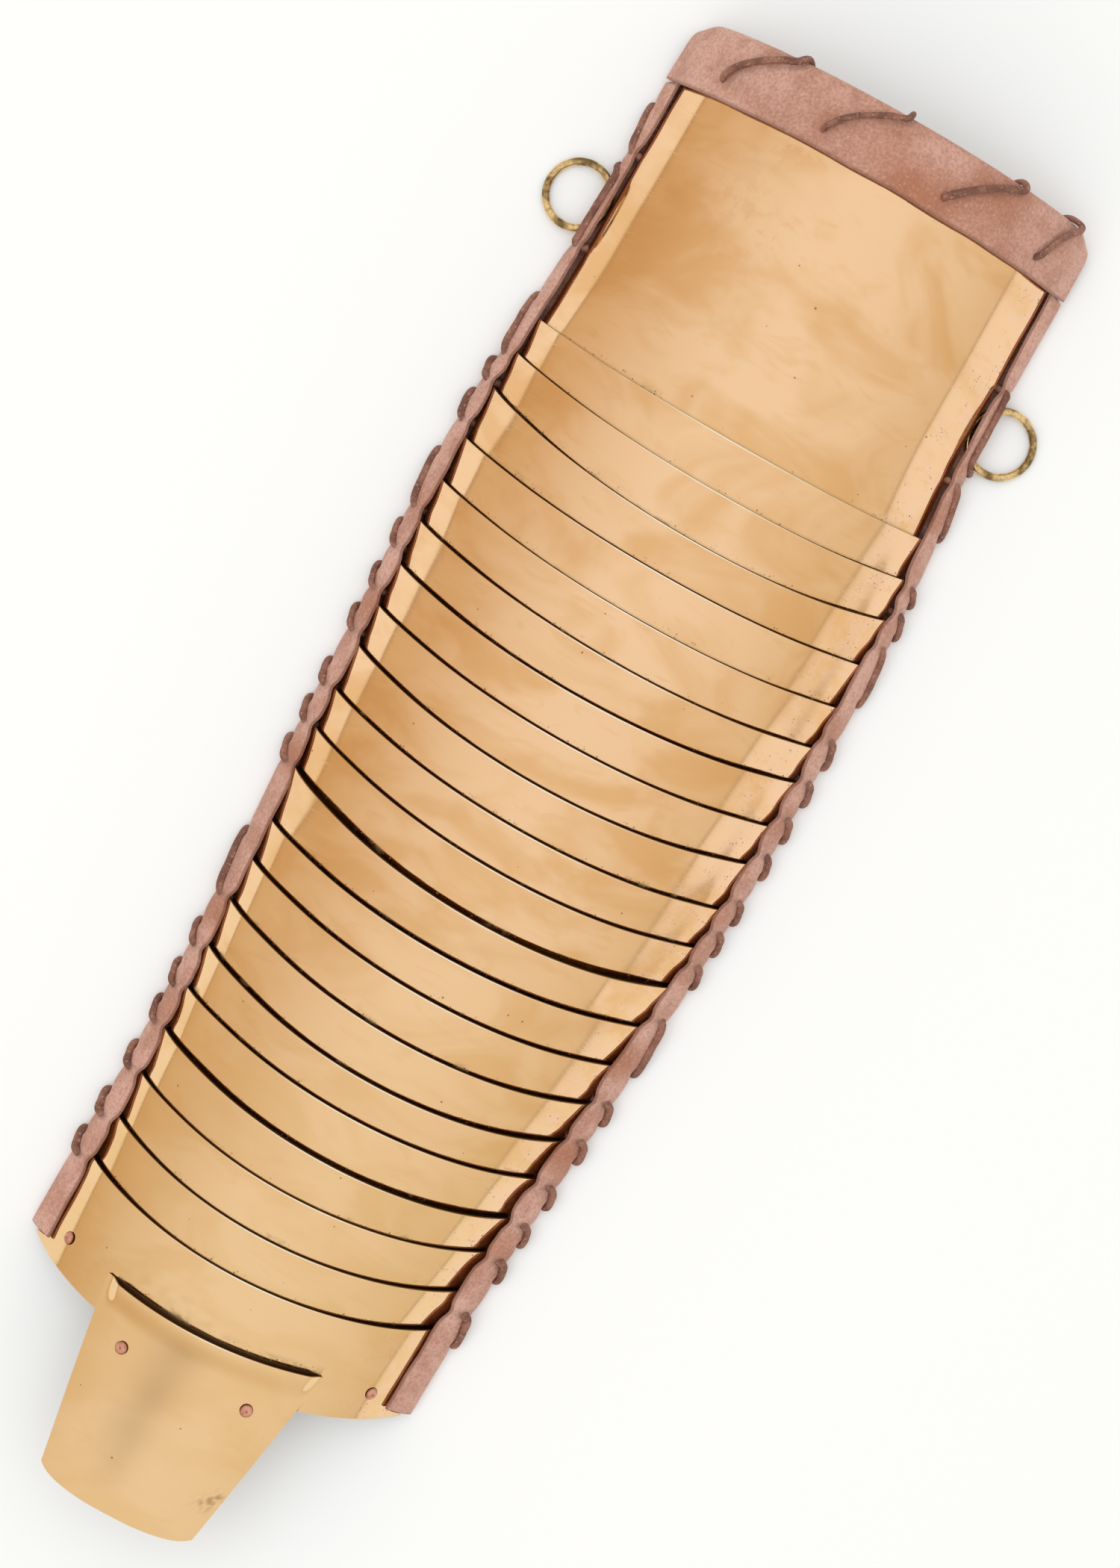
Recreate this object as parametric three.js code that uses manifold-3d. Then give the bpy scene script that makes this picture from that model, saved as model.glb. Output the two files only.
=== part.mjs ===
// A manica: a segmented arm guard of overlapping brass lames, lying on its open side.
// Millimetres. +Z is up, +Y points to the shoulder end and X runs across the arch.
import * as THREE from 'three';
import { mergeVertices } from 'three/addons/utils/BufferGeometryUtils.js';
import Module from 'manifold-3d';

const wasm = await Module();
wasm.setup();

// Driving dimensions
const SHEET = 1.0; // brass sheet
const LEATHER = 2.2; // edgings and binding
const THONG = 1.55; // radius of the lacing
const CLEAR = 0.35; // gap between pieces that touch on the real object
const NEST = 1.1; // room under the upper edge of each lame
const OVERLAP = 8; // how far a lame runs on under the next one
const FOOT_HEIGHT = 11; // of the lames' ends above the surface
const SPLITS = 14; // facets across a lame

// Short tables, one row for each section, stitch or lame
const named = (names, row) => Object.fromEntries(names.map((name, i) => [name, row[i]]));
const table = (names, ...rows) => rows.map((row) => named(names, row));

// The arch along its length: the sideways place of its middle, the half width of the leather on the
// surface, the radius of the round back, how far in from the leather's outer edge the lames end, and the
// height of the leather's outer flange
const ARCH = table(['y', 'centre', 'half', 'radius', 'inset', 'flange'],
  [-340, -1.4, 92.5, 105.0, 9.0, 15.5],
  [-250, -1.4, 92.5, 105.0, 9.0, 15.5],
  [-212, -0.6, 92.6, 105.5, 9.0, 16.0],
  [-172, 1.5, 93.1, 106.5, 9.0, 16.0],
  [-132, 2.6, 94.7, 107.5, 9.0, 16.0],
  [-92, 3.2, 96.9, 108.5, 9.0, 16.0],
  [-52, 3.7, 98.8, 109.0, 9.0, 16.0],
  [-12, 3.7, 101.2, 109.5, 9.0, 16.0],
  [28, 3.8, 102.6, 110.0, 9.0, 16.0],
  [68, 3.1, 103.3, 110.0, 9.0, 16.0],
  [108, 2.1, 104.0, 110.0, 9.0, 15.8],
  [148, 2.0, 103.4, 109.0, 9.0, 15.0],
  [188, 1.5, 99.9, 107.0, 8.2, 13.5],
  [228, 1.3, 96.4, 105.0, 6.6, 12.2],
  [278, 1.5, 94.8, 103.0, 6.5, 12.0],
  [340, 1.6, 94.9, 102.0, 8.5, 12.0]);

// The lames' upper edges: the place at the crown, how far the edge falls back towards the shoulder for
// each millimetre that it drops, how far it slants across, and how far it stands off more than NEST.
const EDGE_COLUMNS = ['top', 'lean', 'slant', 'lift'];
const LAMES = table(EDGE_COLUMNS,
  [185.6, 0.129, -0.009, 0.2],
  [164.8, 0.185, -0.018, 0.3],
  [142.8, 0.253, -0.023, 0.9],
  [124.7, 0.167, -0.010, 0.0],
  [104.1, 0.172, -0.011, -0.3],
  [84.0, 0.182, -0.011, 1.0],
  [64.7, 0.204, 0.006, 0.7],
  [45.4, 0.178, -0.002, 0.4],
  [24.6, 0.223, 0.000, 0.5],
  [4.8, 0.181, -0.009, 0.4],
  [-14.7, 0.195, -0.013, 0.4],
  [-36.8, 0.254, -0.020, 2.4],
  [-56.4, 0.190, 0.001, 0.5],
  [-75.6, 0.189, -0.008, 0.5],
  [-96.9, 0.220, -0.008, 0.5],
  [-118.5, 0.251, 0.002, 0.7],
  [-135.6, 0.181, 0.007, 0.0],
  [-157.4, 0.213, 0.007, 1.5],
  [-177.4, 0.214, 0.033, -0.5],
  [-198.7, 0.228, 0.036, -0.2]);
const [WRIST, WRIST_END] = table(EDGE_COLUMNS,
  [-218.7, 0.209, 0.044, -0.3],
  [-263.9, 0.198, 0.044, 0.0]);

// Past the leather the wrist plate's ends run out almost to the surface: the length of these corners, and
// how far they reach as a share of the half arch
const EAR = { length: 4.2, reach: 1.11 };

// The shoulder plate, from the rim down to the first lame, and the binding over its rim
const RIM = 330.3;
const RIM_LEAN = 0.03;
const BINDING = {
  outer: 304.1, // lower border outside
  inner: 307.5, // and inside
  round: 2.4, // height of the fold over the rim
  straight: 0.8, // below the rim, where the fold begins
  lean: 0.056,
  splay: 1.6, // how far each layer stands away at the feet, from splayFrom on
  splayFrom: 0.75,
  footInset: 3.9,
  footHeight: 2.9,
};

// The leather edgings: a folded strip with its fold on the surface
const EDGING = {
  top: 305.6, // shoulder end
  tuck: 18, // height of the inner flange
  nose: 1.6, // from the widest place in to the start of the fold
  fold: 9.5, // and to its end
  standoff: 2.1, // of the outer flange's middle from the lames
  inside: 6.2, // of the inner flange's middle from the lames' outer face
  lift: 3.6, // of the fold where the thong passes under it
  pinch: 0.5, // how far the lifted fold draws in, for each millimetre
  liftReach: 2.45, // along the strip, at full height
  liftEnd: 4.6, // and down to nothing
};
const EDGING_END = { left: -254.5, right: -247 };
// The inner flange grows at the wrist to take the rivet
const TAB = { height: 27.5, length: 17, slope: 5, inside: 2.9 };

// Whip stitches of the two side lacings: where the thong passes under the fold, and its hole
const STITCHES = {
  left: table(['under', 'hole'],
    [294, 273], [266, 228], [201, 174], [169, 161], [153, 141], [124, 99], [90, 80], [69, 60], [49, 40],
    [23, 14], [5, -4], [-14, -23], [-59, -87], [-103, -112], [-123, -132], [-141, -150], [-164, -173],
    [-188, -197], [-208, -217]),
  right: table(['under', 'hole'],
    [-211, -196], [-177, -168], [-158, -149], [-138, -129], [-114, -105], [-94, -85], [-68, -42],
    [-23, -14], [-6, 3], [10, 19], [33, 42], [51, 60], [69, 78], [87, 98], [118, 143], [150, 159], [165, 171],
    [196, 218], [226, 262]),
};

// The side lacings' route round the fold: insets from the leather's widest place, and heights
const UNDER_FOLD = table(['inset', 'height'], [15.6, 4.3], [12, 1.7], [3, 1.7], [-1.6, 3]);
const BESIDE_FOLD = { inset: -0.9, height: 5.1 };
const OVER_RING = { inset: 0.3, middle: 0, height: 8.9, past: 0.2 };
const THONG_HOLE = { outside: 0.6, inside: 18, height: 7.2 };

// The four stitches over the shoulder rim: across at the hole and across at the rim
const RIM_STITCHES = table(['hole', 'over'], [-69.6, -43.5], [-23.9, 3.7], [30.2, 56.1], [74.4, 83.3]);
const RIM_HOLE = 312.5; // along, at the crown

// The wire rings at the shoulder end: high is the wire's height inside the fold, low at its outermost point
const RING = {
  radius: 14.05,
  wire: 1.65,
  high: 5.0,
  low: 1.75,
  x: { left: -103.4, right: 104.2 },
  y: { left: 247, right: 243 },
};

// The hand guard on the wrist plate. Its upper edge stands off between the corners, and its valley runs
// down the middle of the free end.
const GUARD = {
  top: -245.4,
  end: -334.8,
  topHalf: 50,
  endHalf: 35.8,
  taper: 1.05,
  corner: 5.5,
  slant: 0.05,
  endSlant: 0.03,
  lift: 1.6,
  valley: 1.1,
  valleyReach: 9,
  free: [3, 25], // below the wrist plate's edge, where the valley begins and is full
};

// Rivets: a domed head outside, a shank and a small round tail inside
const RIVET = { head: 2.9, rise: 1.5, shank: 1.3, tail: 2.3, tailRise: 0.9, sides: 8 };
const DOME = { across: 0.62, up: 0.74 }; // the corner of a head, as shares of its radius and height
const TAIL_TOP = 0.6; // the flat end of a tail, as a share of its radius
const BORE = { above: 6, below: 9 }; // the drilled length on either side of the outer face
const TAB_INSIDE = 6.8; // from the lames' outer face to the back of the inner flange at the wrist
const WRIST_RIVETS = { left: { x: -74.4, y: -247.8 }, right: { x: 70.9, y: -241.8 } };
const GUARD_RIVETS = { left: { x: -30.8, y: -269.9 }, right: { x: 27.3, y: -267.0 } };

const COLOURS = {
  brass: new THREE.MeshStandardMaterial({ color: 0xdcae74, roughness: 0.32, metalness: 1 }),
  leather: new THREE.MeshStandardMaterial({ color: 0xb28474, roughness: 0.85, metalness: 0 }),
  thong: new THREE.MeshStandardMaterial({ color: 0x7a4c42, roughness: 0.75, metalness: 0 }),
  ring: new THREE.MeshStandardMaterial({ color: 0x94763e, roughness: 0.38, metalness: 1 }),
  copper: new THREE.MeshStandardMaterial({ color: 0xc47a68, roughness: 0.4, metalness: 1 }),
};

const SIDES = { left: -1, right: 1 };
const { clamp, lerp, smoothstep } = THREE.MathUtils;
const vec = (x, y, z) => new THREE.Vector3(x, y, z);
const spread = (count) => Array.from({ length: count + 1 }, (_, i) => (2 * i) / count - 1);

// A smooth value of one column of the arch table at any place along the object
function along(key, y) {
  const last = ARCH.length - 2;
  let i = 0;
  while (i < last && y > ARCH[i + 1].y) i += 1;
  const span = (k) => ARCH[clamp(k, 0, last + 1)];
  const slope = (k) => (span(k + 1)[key] - span(k - 1)[key]) / (span(k + 1).y - span(k - 1).y);
  const width = span(i + 1).y - span(i).y;
  const t = clamp((y - span(i).y) / width, 0, 1);
  const ease = 2 * t ** 3 - 3 * t ** 2 + 1;
  const leave = t ** 3 - 2 * t ** 2 + t;
  const reach = t ** 3 - t ** 2;
  const through = ease * span(i)[key] + (1 - ease) * span(i + 1)[key];
  return through + width * (leave * slope(i) + reach * slope(i + 1));
}

// The arch's section at y: a round back that ends in two feet
function section(y) {
  const centre = along('centre', y);
  const half = along('half', y);
  const radius = along('radius', y);
  const angle = Math.asin((half - along('inset', y)) / radius);
  return { centre, half, radius, angle, crown: FOOT_HEIGHT + radius * (1 - Math.cos(angle)) };
}

// A point on the section at y: s runs from -1 at the left foot over the crown to 1 at the right foot,
// and out is the distance outside the lames' outer face. drop is its depth below the crown and t the
// turn of the face there.
function onArch(y, s, out = 0) {
  const { centre, radius, angle, crown } = section(y);
  const t = s * angle;
  const across = (radius + out) * Math.sin(t);
  const z = crown - radius + (radius + out) * Math.cos(t);
  return { x: centre + across, z, across, drop: radius * (1 - Math.cos(t)), t };
}

// The s that a sideways place x has on the section at y
function acrossToS(y, x) {
  const { centre, radius, angle } = section(y);
  return Math.asin(clamp((x - centre) / radius, -1, 1)) / angle;
}

// The sideways distance from the middle to the lames' outer face at height z, and the sine of its slope
function reachAt(y, z) {
  const { radius, crown } = section(y);
  const cos = clamp((z - crown + radius) / radius, -1, 1);
  const sin = Math.sqrt(1 - cos * cos);
  return { x: radius * sin, sin };
}

// A point of a cut edge, which lean and slant move along the arch
function onEdge(edge, s, out = 0) {
  const { drop, across } = onArch(edge.top, s, 0);
  const y = edge.top + edge.lean * drop + edge.slant * across;
  const p = onArch(y, s, out);
  return vec(p.x, y, p.z);
}

// A geometry from points and triangles, turned so that its faces point out
function closedGeometry(points, index) {
  let volume = 0;
  for (let i = 0; i < index.length; i += 3) {
    const [a, b, c] = [points[index[i]], points[index[i + 1]], points[index[i + 2]]];
    volume += a.dot(vec(0, 0, 0).crossVectors(b, c));
  }
  for (let i = 0; volume < 0 && i < index.length; i += 3) {
    [index[i], index[i + 1]] = [index[i + 1], index[i]];
  }
  const geometry = new THREE.BufferGeometry().setFromPoints(points);
  geometry.setIndex(index);
  return geometry;
}

// A closed body through equal rings of points, with flat ends; flat gives the ring's outline for the ends
function loft(rings, flat) {
  const count = rings[0].length;
  const points = rings.flat();
  const index = [];
  for (let i = 0; i + 1 < rings.length; i += 1) {
    for (let j = 0; j < count; j += 1) {
      const a = i * count + j;
      const b = i * count + ((j + 1) % count);
      index.push(a, b, b + count, a, b + count, a + count);
    }
  }
  const lid = (ring, start, turned) => {
    for (const [a, b, c] of THREE.ShapeUtils.triangulateShape(ring.map(flat), [])) {
      const follows = (b - a) * (c - b) * (a - c) < 0; // the triangle goes round as the ring does
      index.push(start + a, start + (follows === turned ? c : b), start + (follows === turned ? b : c));
    }
  };
  lid(rings[0], 0, true);
  lid(rings[rings.length - 1], points.length - count, false);
  return closedGeometry(points, index);
}

// A tube of a few flat sides through the given points
function tube(points, radius, sides) {
  const tangentAt = (i) => {
    const before = points[Math.max(i - 1, 0)];
    const after = points[Math.min(i + 1, points.length - 1)];
    return after.clone().sub(before).normalize();
  };
  const upright = Math.abs(tangentAt(0).z) > 0.9;
  let normal = upright ? vec(0, 1, 0) : vec(0, 0, 1);
  const rings = points.map((p, i) => {
    const tangent = tangentAt(i);
    normal = normal.clone().addScaledVector(tangent, -normal.dot(tangent)).normalize();
    const side = vec(0, 0, 0).crossVectors(tangent, normal);
    return Array.from({ length: sides }, (_, k) => {
      const turn = (2 * Math.PI * (k + 0.5)) / sides;
      const [up, aside] = [radius * Math.cos(turn), radius * Math.sin(turn)];
      return p.clone().addScaledVector(normal, up).addScaledVector(side, aside);
    });
  });
  const corner = (turn) => new THREE.Vector2(Math.cos(turn), Math.sin(turn));
  return loft(rings, (p, k) => corner((2 * Math.PI * k) / sides));
}

// Cutting one closed geometry with others
function toSolid(geometry) {
  const bare = geometry.clone();
  bare.deleteAttribute('normal');
  bare.deleteAttribute('uv');
  const merged = mergeVertices(bare, 1e-4);
  return new wasm.Manifold(new wasm.Mesh({
    numProp: 3,
    vertProperties: new Float32Array(merged.attributes.position.array),
    triVerts: new Uint32Array(merged.index.array),
  }));
}

function cut(geometry, cutters) {
  const solid = cutters.reduce((body, cutter) => body.subtract(toSolid(cutter)), toSolid(geometry));
  const mesh = solid.getMesh();
  const result = new THREE.BufferGeometry();
  result.setAttribute('position', new THREE.BufferAttribute(new Float32Array(mesh.vertProperties), 3));
  result.setIndex(new THREE.BufferAttribute(new Uint32Array(mesh.triVerts), 1));
  return result;
}

const object = new THREE.Group();
function add(name, geometry, material) {
  geometry.computeVertexNormals();
  const mesh = new THREE.Mesh(geometry, material);
  mesh.name = name;
  object.add(mesh);
}

// The outline of a strip of even thickness along a bent line in a plane
function thicken(line, thickness) {
  const mitreLimit = 1.95;
  const offset = (sign) => line.map(([x, y], i) => {
    const before = line[Math.max(i - 1, 0)];
    const after = line[Math.min(i + 1, line.length - 1)];
    const into = new THREE.Vector2(x - before[0], y - before[1]);
    const onward = new THREE.Vector2(after[0] - x, after[1] - y);
    const a = (i > 0 ? into : onward).clone().normalize();
    const b = (i < line.length - 1 ? onward : into).clone().normalize();
    const bisector = new THREE.Vector2(-(a.y + b.y), a.x + b.x).normalize();
    const square = bisector.dot(new THREE.Vector2(-a.y, a.x));
    const reach = (sign * Math.min(1 / square, mitreLimit) * thickness) / 2;
    return [x + bisector.x * reach, y + bisector.y * reach];
  });
  return [...offset(1), ...offset(-1).reverse()];
}

// A row of a sheet lies depth below the lames' outer face on a cut edge, or lies past one cut edge as
// seen from another. A lifted edge comes back to the arch at its ends, and a wide one runs on past them.
function edgePoint(edge, place, out) {
  const s = place * (edge.wide ?? 1);
  const deep = (row) => row.depth - row.lift * (1 - Math.abs(s) ** 6);
  if (!edge.past) return onEdge(edge, s, out - deep(edge));
  const from = onEdge(edge.from, s, out - deep(edge.from));
  const over = onEdge(edge.past, s, out - deep(edge.past));
  return from.clone().lerp(over, 1 + OVERLAP / (edge.from.top - edge.past.top));
}

const lifted = (edge) => ({ ...edge, depth: 0 });
const flush = (edge, depth = 0) => ({ ...edge, lift: 0, depth });

// The lower row of a sheet, tucked under the next one
const tucked = (from, next) => {
  const past = flush(next, SHEET + NEST);
  return { from, past, top: next.top - OVERLAP, depth: past.depth };
};

// A curved sheet across the arch, through its rows from the upper one down
function archedSheet(edges) {
  const rings = spread(SPLITS).map((s) => {
    const outer = edges.map((edge) => edgePoint(edge, s, 0));
    const inner = edges.map((edge) => edgePoint(edge, s, -SHEET)).reverse();
    return [...outer, ...inner];
  });
  const rows = edges.length;
  const flat = (p, k) => {
    const { top, depth, wide = 1 } = edges[k < rows ? k : 2 * rows - 1 - k];
    const aside = -depth - (wide - 1) * FOOT_HEIGHT;
    return new THREE.Vector2(-top, k < rows ? aside : aside - SHEET);
  };
  return loft(rings, flat);
}

// A channel with clearance round a thong, between two points; its few sides need some room more
const channel = (a, b) => tube([a, b], THONG + CLEAR + 0.4, 4);

// How far the binding's two layers spread apart towards the feet of the arch
function bindingSplay(s) {
  return BINDING.splay * smoothstep(Math.abs(s), BINDING.splayFrom, 1);
}

// Shoulder binding: leather folded over the plate's rim, with a rounded fold, down to the surface
function bindingLine(s) {
  const outer = CLEAR + LEATHER / 2 + bindingSplay(s);
  const inner = -SHEET - CLEAR - LEATHER / 2 - bindingSplay(s);
  return thicken([
    [BINDING.outer, outer],
    [RIM - BINDING.straight, outer],
    [RIM + BINDING.round - LEATHER / 2, (outer + inner) / 2],
    [RIM - BINDING.straight, inner],
    [BINDING.inner, inner],
  ], LEATHER);
}

function bindingGeometry() {
  const onBack = spread(SPLITS).map((s) => bindingLine(s).map(([y, out]) => {
    const p = onArch(y, s, out);
    return vec(p.x, y + BINDING.lean * p.drop, p.z);
  }));
  const foot = (side) => bindingLine(side).map(([y, out]) => {
    const { t, drop } = onArch(y, side);
    const { centre, half } = section(y);
    const across = side * (half - BINDING.footInset) + out * Math.sin(t);
    const height = BINDING.footHeight + out * Math.cos(t);
    return vec(centre + across, y + BINDING.lean * (drop + FOOT_HEIGHT), height);
  });
  const flat = (p, k) => new THREE.Vector2(...bindingLine(1)[k]);
  return loft([foot(-1), ...onBack, foot(1)], flat);
}

// Shoulder lacing: the thong comes up through each hole, slants over the rim and goes back along the
// inside. The mitred fold stands a little past its height, so the thong's turn there has more room.
function rimThong() {
  const points = [];
  const holes = [];
  const outside = CLEAR + LEATHER + CLEAR + THONG;
  const inside = -SHEET - CLEAR - LEATHER - CLEAR - THONG;
  const rim = RIM + BINDING.round + 2 * CLEAR + THONG;
  const bend = 1.5; // where the thong leaves the faces to go round the fold
  const ease = 0.5;
  const place = (x, y, out) => {
    const s = acrossToS(y, x);
    const p = onArch(y, s, out + Math.sign(out) * bindingSplay(s));
    return vec(p.x, y + BINDING.lean * p.drop, p.z);
  };
  for (const { hole, over } of RIM_STITCHES) {
    const [below, above] = [place(hole, RIM_HOLE, inside), place(hole, RIM_HOLE, outside)];
    holes.push(channel(below, above));
    points.push(
      below,
      above,
      place((hole + over) / 2, (RIM_HOLE + RIM) / 2, outside + ease / 2),
      place(over, RIM, outside + ease),
      place(over, rim - bend, outside - ease),
      place(over, rim, -SHEET / 2),
      place(over, rim - bend, inside + ease),
      place(over, RIM, inside - ease),
    );
  }
  return { points, holes };
}

// The folded strip's section at y, as distance from the middle and height; lift raises the fold where the
// thong passes under it, and the inner flange is taller beside the wrist rivet
function edgingLine(y, lift, tall) {
  const { half } = section(y);
  const flange = along('flange', y);
  const upper = reachAt(y, flange);
  const tuck = lerp(EDGING.tuck, TAB.height, tall);
  const inner = reachAt(y, tuck);
  const inside = lerp(EDGING.inside, TAB.inside, tall);
  const raised = LEATHER / 2 + lift;
  return thicken([
    [upper.x + EDGING.standoff / upper.sin, flange],
    [half - EDGING.nose - EDGING.pinch * lift, raised],
    [half - EDGING.fold - EDGING.pinch * lift, raised],
    [inner.x - inside / inner.sin, tuck],
  ], LEATHER);
}

function edgingGeometry(name) {
  const side = SIDES[name];
  const end = EDGING_END[name];
  const plain = [EDGING.top, end + TAB.length, end + TAB.length - TAB.slope, end];
  const stations = plain.map((y) => ({ y, lift: 0 }));
  for (const { under } of STITCHES[name]) {
    for (const way of [-1, 1]) {
      stations.push({ y: under + way * EDGING.liftEnd, lift: 0 });
      stations.push({ y: under + way * EDGING.liftReach, lift: EDGING.lift });
    }
  }
  stations.sort((a, b) => b.y - a.y);
  const rings = stations.map(({ y, lift }) => {
    const { centre } = section(y);
    const tall = clamp((end + TAB.length - y) / TAB.slope, 0, 1);
    return edgingLine(y, lift, tall).map(([x, z]) => vec(centre + side * x, y, z));
  });
  return loft(rings, (p) => new THREE.Vector2(side * p.x, p.z));
}

// Side lacing: a thong whipped round the fold, through a hole above it and back inside the arch
function sideThong(name) {
  const points = [];
  const holes = [];
  const place = (y, inset, height) => {
    const { centre, half } = section(y);
    return vec(centre + SIDES[name] * (half - inset), y, height);
  };
  for (const { under, hole } of STITCHES[name]) {
    for (const { inset, height } of UNDER_FOLD) points.push(place(under, inset, height));
    const middle = (under + hole) / 2;
    if (Math.abs(middle - RING.y[name]) < RING.radius) {
      const past = Math.sign(hole - under) * (RING.radius + OVER_RING.past);
      points.push(place(RING.y[name] - past, OVER_RING.inset, OVER_RING.height));
      points.push(place(RING.y[name], OVER_RING.middle, OVER_RING.height));
      points.push(place(RING.y[name] + past, OVER_RING.inset, OVER_RING.height));
    } else {
      points.push(place(middle, BESIDE_FOLD.inset, BESIDE_FOLD.height));
    }
    const out = place(hole, THONG_HOLE.outside, THONG_HOLE.height);
    const back = place(hole, THONG_HOLE.inside, THONG_HOLE.height);
    points.push(out, back);
    holes.push(channel(out, back));
  }
  return { points, holes };
}

// Wire ring through the folded edging; grow widens it to the room that it needs
function ringGeometry(name, grow = 0) {
  const arcs = 16;
  const geometry = new THREE.TorusGeometry(RING.radius, RING.wire + grow, 6, arcs);
  const tilt = Math.asin((RING.high - RING.low) / (2 * RING.radius));
  geometry.rotateZ(Math.PI / arcs);
  geometry.rotateY(SIDES[name] * tilt);
  geometry.translate(RING.x[name], RING.y[name], (RING.high + RING.low) / 2);
  return geometry;
}

// Hand guard: a trapezoid of sheet over the wrist plate, with a round-cornered free end. u runs across
// it from -1 to 1 and v from its upper edge to its free end.
function guardPoint(u, v, out) {
  const across = u * lerp(GUARD.topHalf, GUARD.endHalf, v ** GUARD.taper);
  const top = GUARD.top + GUARD.slant * across;
  const end = GUARD.end + GUARD.corner * Math.abs(u) ** 4 + GUARD.endSlant * across;
  const y = lerp(top, end, v);
  const base = onArch(y, acrossToS(y, section(y).centre + across), CLEAR);
  const free = smoothstep(-y, -WRIST_END.top + GUARD.free[0], -WRIST_END.top + GUARD.free[1]);
  const valley = GUARD.valley * free * Math.exp(-((across / GUARD.valleyReach) ** 2));
  const lift = v > 0 ? 0 : GUARD.lift * (1 - u ** 6);
  const stand = out + lift;
  return vec(base.x + stand * Math.sin(base.t), y, base.z + stand * Math.cos(base.t) - valley);
}

function guardGeometry() {
  const rows = [0, 0.3, 1];
  const rings = spread(10).map((u) => {
    const upper = rows.map((v) => guardPoint(u, v, SHEET));
    const lower = rows.map((v) => guardPoint(u, v, 0)).reverse();
    return [...upper, ...lower];
  });
  const back = 2 * rows.length - 1;
  const flat = (p, k) => (k < rows.length ? new THREE.Vector2(k, 1) : new THREE.Vector2(back - k, 0));
  return loft(rings, flat);
}

// A rivet's place on the lames' outer face, with its axis square to the sheet
function rivetFrame({ x, y }) {
  const p = onArch(y, acrossToS(y, x));
  return { origin: vec(p.x, y, p.z), axis: vec(Math.sin(p.t), 0, Math.cos(p.t)) };
}

// The rivet's outline turned about its axis: its head stands on the face at above, and its tail at below
function rivetGeometry(frame, above, below) {
  const { head, rise, shank, tail, tailRise, sides } = RIVET;
  const end = -below - tailRise;
  const profile = [
    [0, above + rise], [head * DOME.across, above + rise * DOME.up], [head, above], [shank, above],
    [shank, -below], [tail, -below], [tail * TAIL_TOP, end], [0, end],
  ].map(([r, h]) => new THREE.Vector2(r, h)).reverse();
  const geometry = new THREE.LatheGeometry(profile, sides);
  geometry.applyQuaternion(new THREE.Quaternion().setFromUnitVectors(vec(0, 1, 0), frame.axis));
  geometry.translate(frame.origin.x, frame.origin.y, frame.origin.z);
  return geometry;
}

// The hole for a rivet's shank, longer than everything that it joins
const bore = (frame) => tube([
  frame.origin.clone().addScaledVector(frame.axis, BORE.above),
  frame.origin.clone().addScaledVector(frame.axis, -BORE.below),
], RIVET.shank + CLEAR + 0.1, RIVET.sides);

// The shoulder plate dips evenly from its rim to where the first lame covers it
const rimLacing = rimThong();
const FIRST = LAMES[0];
const plateEdge = (w) => flush({
  top: lerp(RIM, FIRST.top, w),
  lean: lerp(RIM_LEAN, FIRST.lean, w),
  slant: FIRST.slant * w,
}, (SHEET + NEST) * w * w);
const plateEdges = [0.01, 0.25, 0.5, 0.75, 1].map(plateEdge);
plateEdges.push(tucked(plateEdges[3], FIRST));
add('shoulder_plate', cut(archedSheet(plateEdges), rimLacing.holes), COLOURS.brass);
add('shoulder_binding', cut(bindingGeometry(), rimLacing.holes), COLOURS.leather);
add('shoulder_lacing', tube(rimLacing.points, THONG, 5), COLOURS.thong);

LAMES.forEach((own, i) => {
  const next = LAMES[i + 1] ?? WRIST;
  const name = `lame_${String(i + 1).padStart(2, '0')}`;
  add(name, archedSheet([lifted(own), tucked(flush(own), next)]), COLOURS.brass);
});

const onBoth = ({ left, right }) => ({ left: rivetFrame(left), right: rivetFrame(right) });
const wristRivets = onBoth(WRIST_RIVETS);
const guardRivets = onBoth(GUARD_RIVETS);
const guardBores = Object.values(guardRivets).map(bore);
const wristBores = Object.values(wristRivets).map(bore);
const wristSheet = archedSheet([
  lifted(WRIST),
  flush({ ...WRIST_END, top: WRIST_END.top + EAR.length }),
  { ...flush(WRIST_END), wide: EAR.reach },
]);
add('wrist_plate', cut(wristSheet, [...wristBores, ...guardBores]), COLOURS.brass);
add('hand_guard', cut(guardGeometry(), guardBores), COLOURS.brass);

for (const name of Object.keys(SIDES)) {
  add(`wrist_rivet_${name}`, rivetGeometry(wristRivets[name], CLEAR, TAB_INSIDE), COLOURS.copper);
  const guardRivet = rivetGeometry(guardRivets[name], SHEET + 2 * CLEAR, SHEET + CLEAR);
  add(`guard_rivet_${name}`, guardRivet, COLOURS.copper);
  const lacing = sideThong(name);
  const cutters = [...lacing.holes, ringGeometry(name, CLEAR + 0.1), bore(wristRivets[name])];
  add(`edging_${name}`, cut(edgingGeometry(name), cutters), COLOURS.leather);
  add(`lacing_${name}`, tube(lacing.points, THONG, 4), COLOURS.thong);
  add(`ring_${name}`, ringGeometry(name), COLOURS.ring);
}

// The origin is the middle of the object's box, on the surface that it lies on
const group = new THREE.Group();
group.add(object);
const extent = new THREE.Box3().setFromObject(object);
const middle = extent.getCenter(vec(0, 0, 0));
object.position.set(-middle.x, -middle.y, -extent.min.z);

export default group;
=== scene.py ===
import math
from collections import namedtuple
from functools import lru_cache

import bmesh
import bpy
from mathutils import Matrix, Vector, noise


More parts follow.
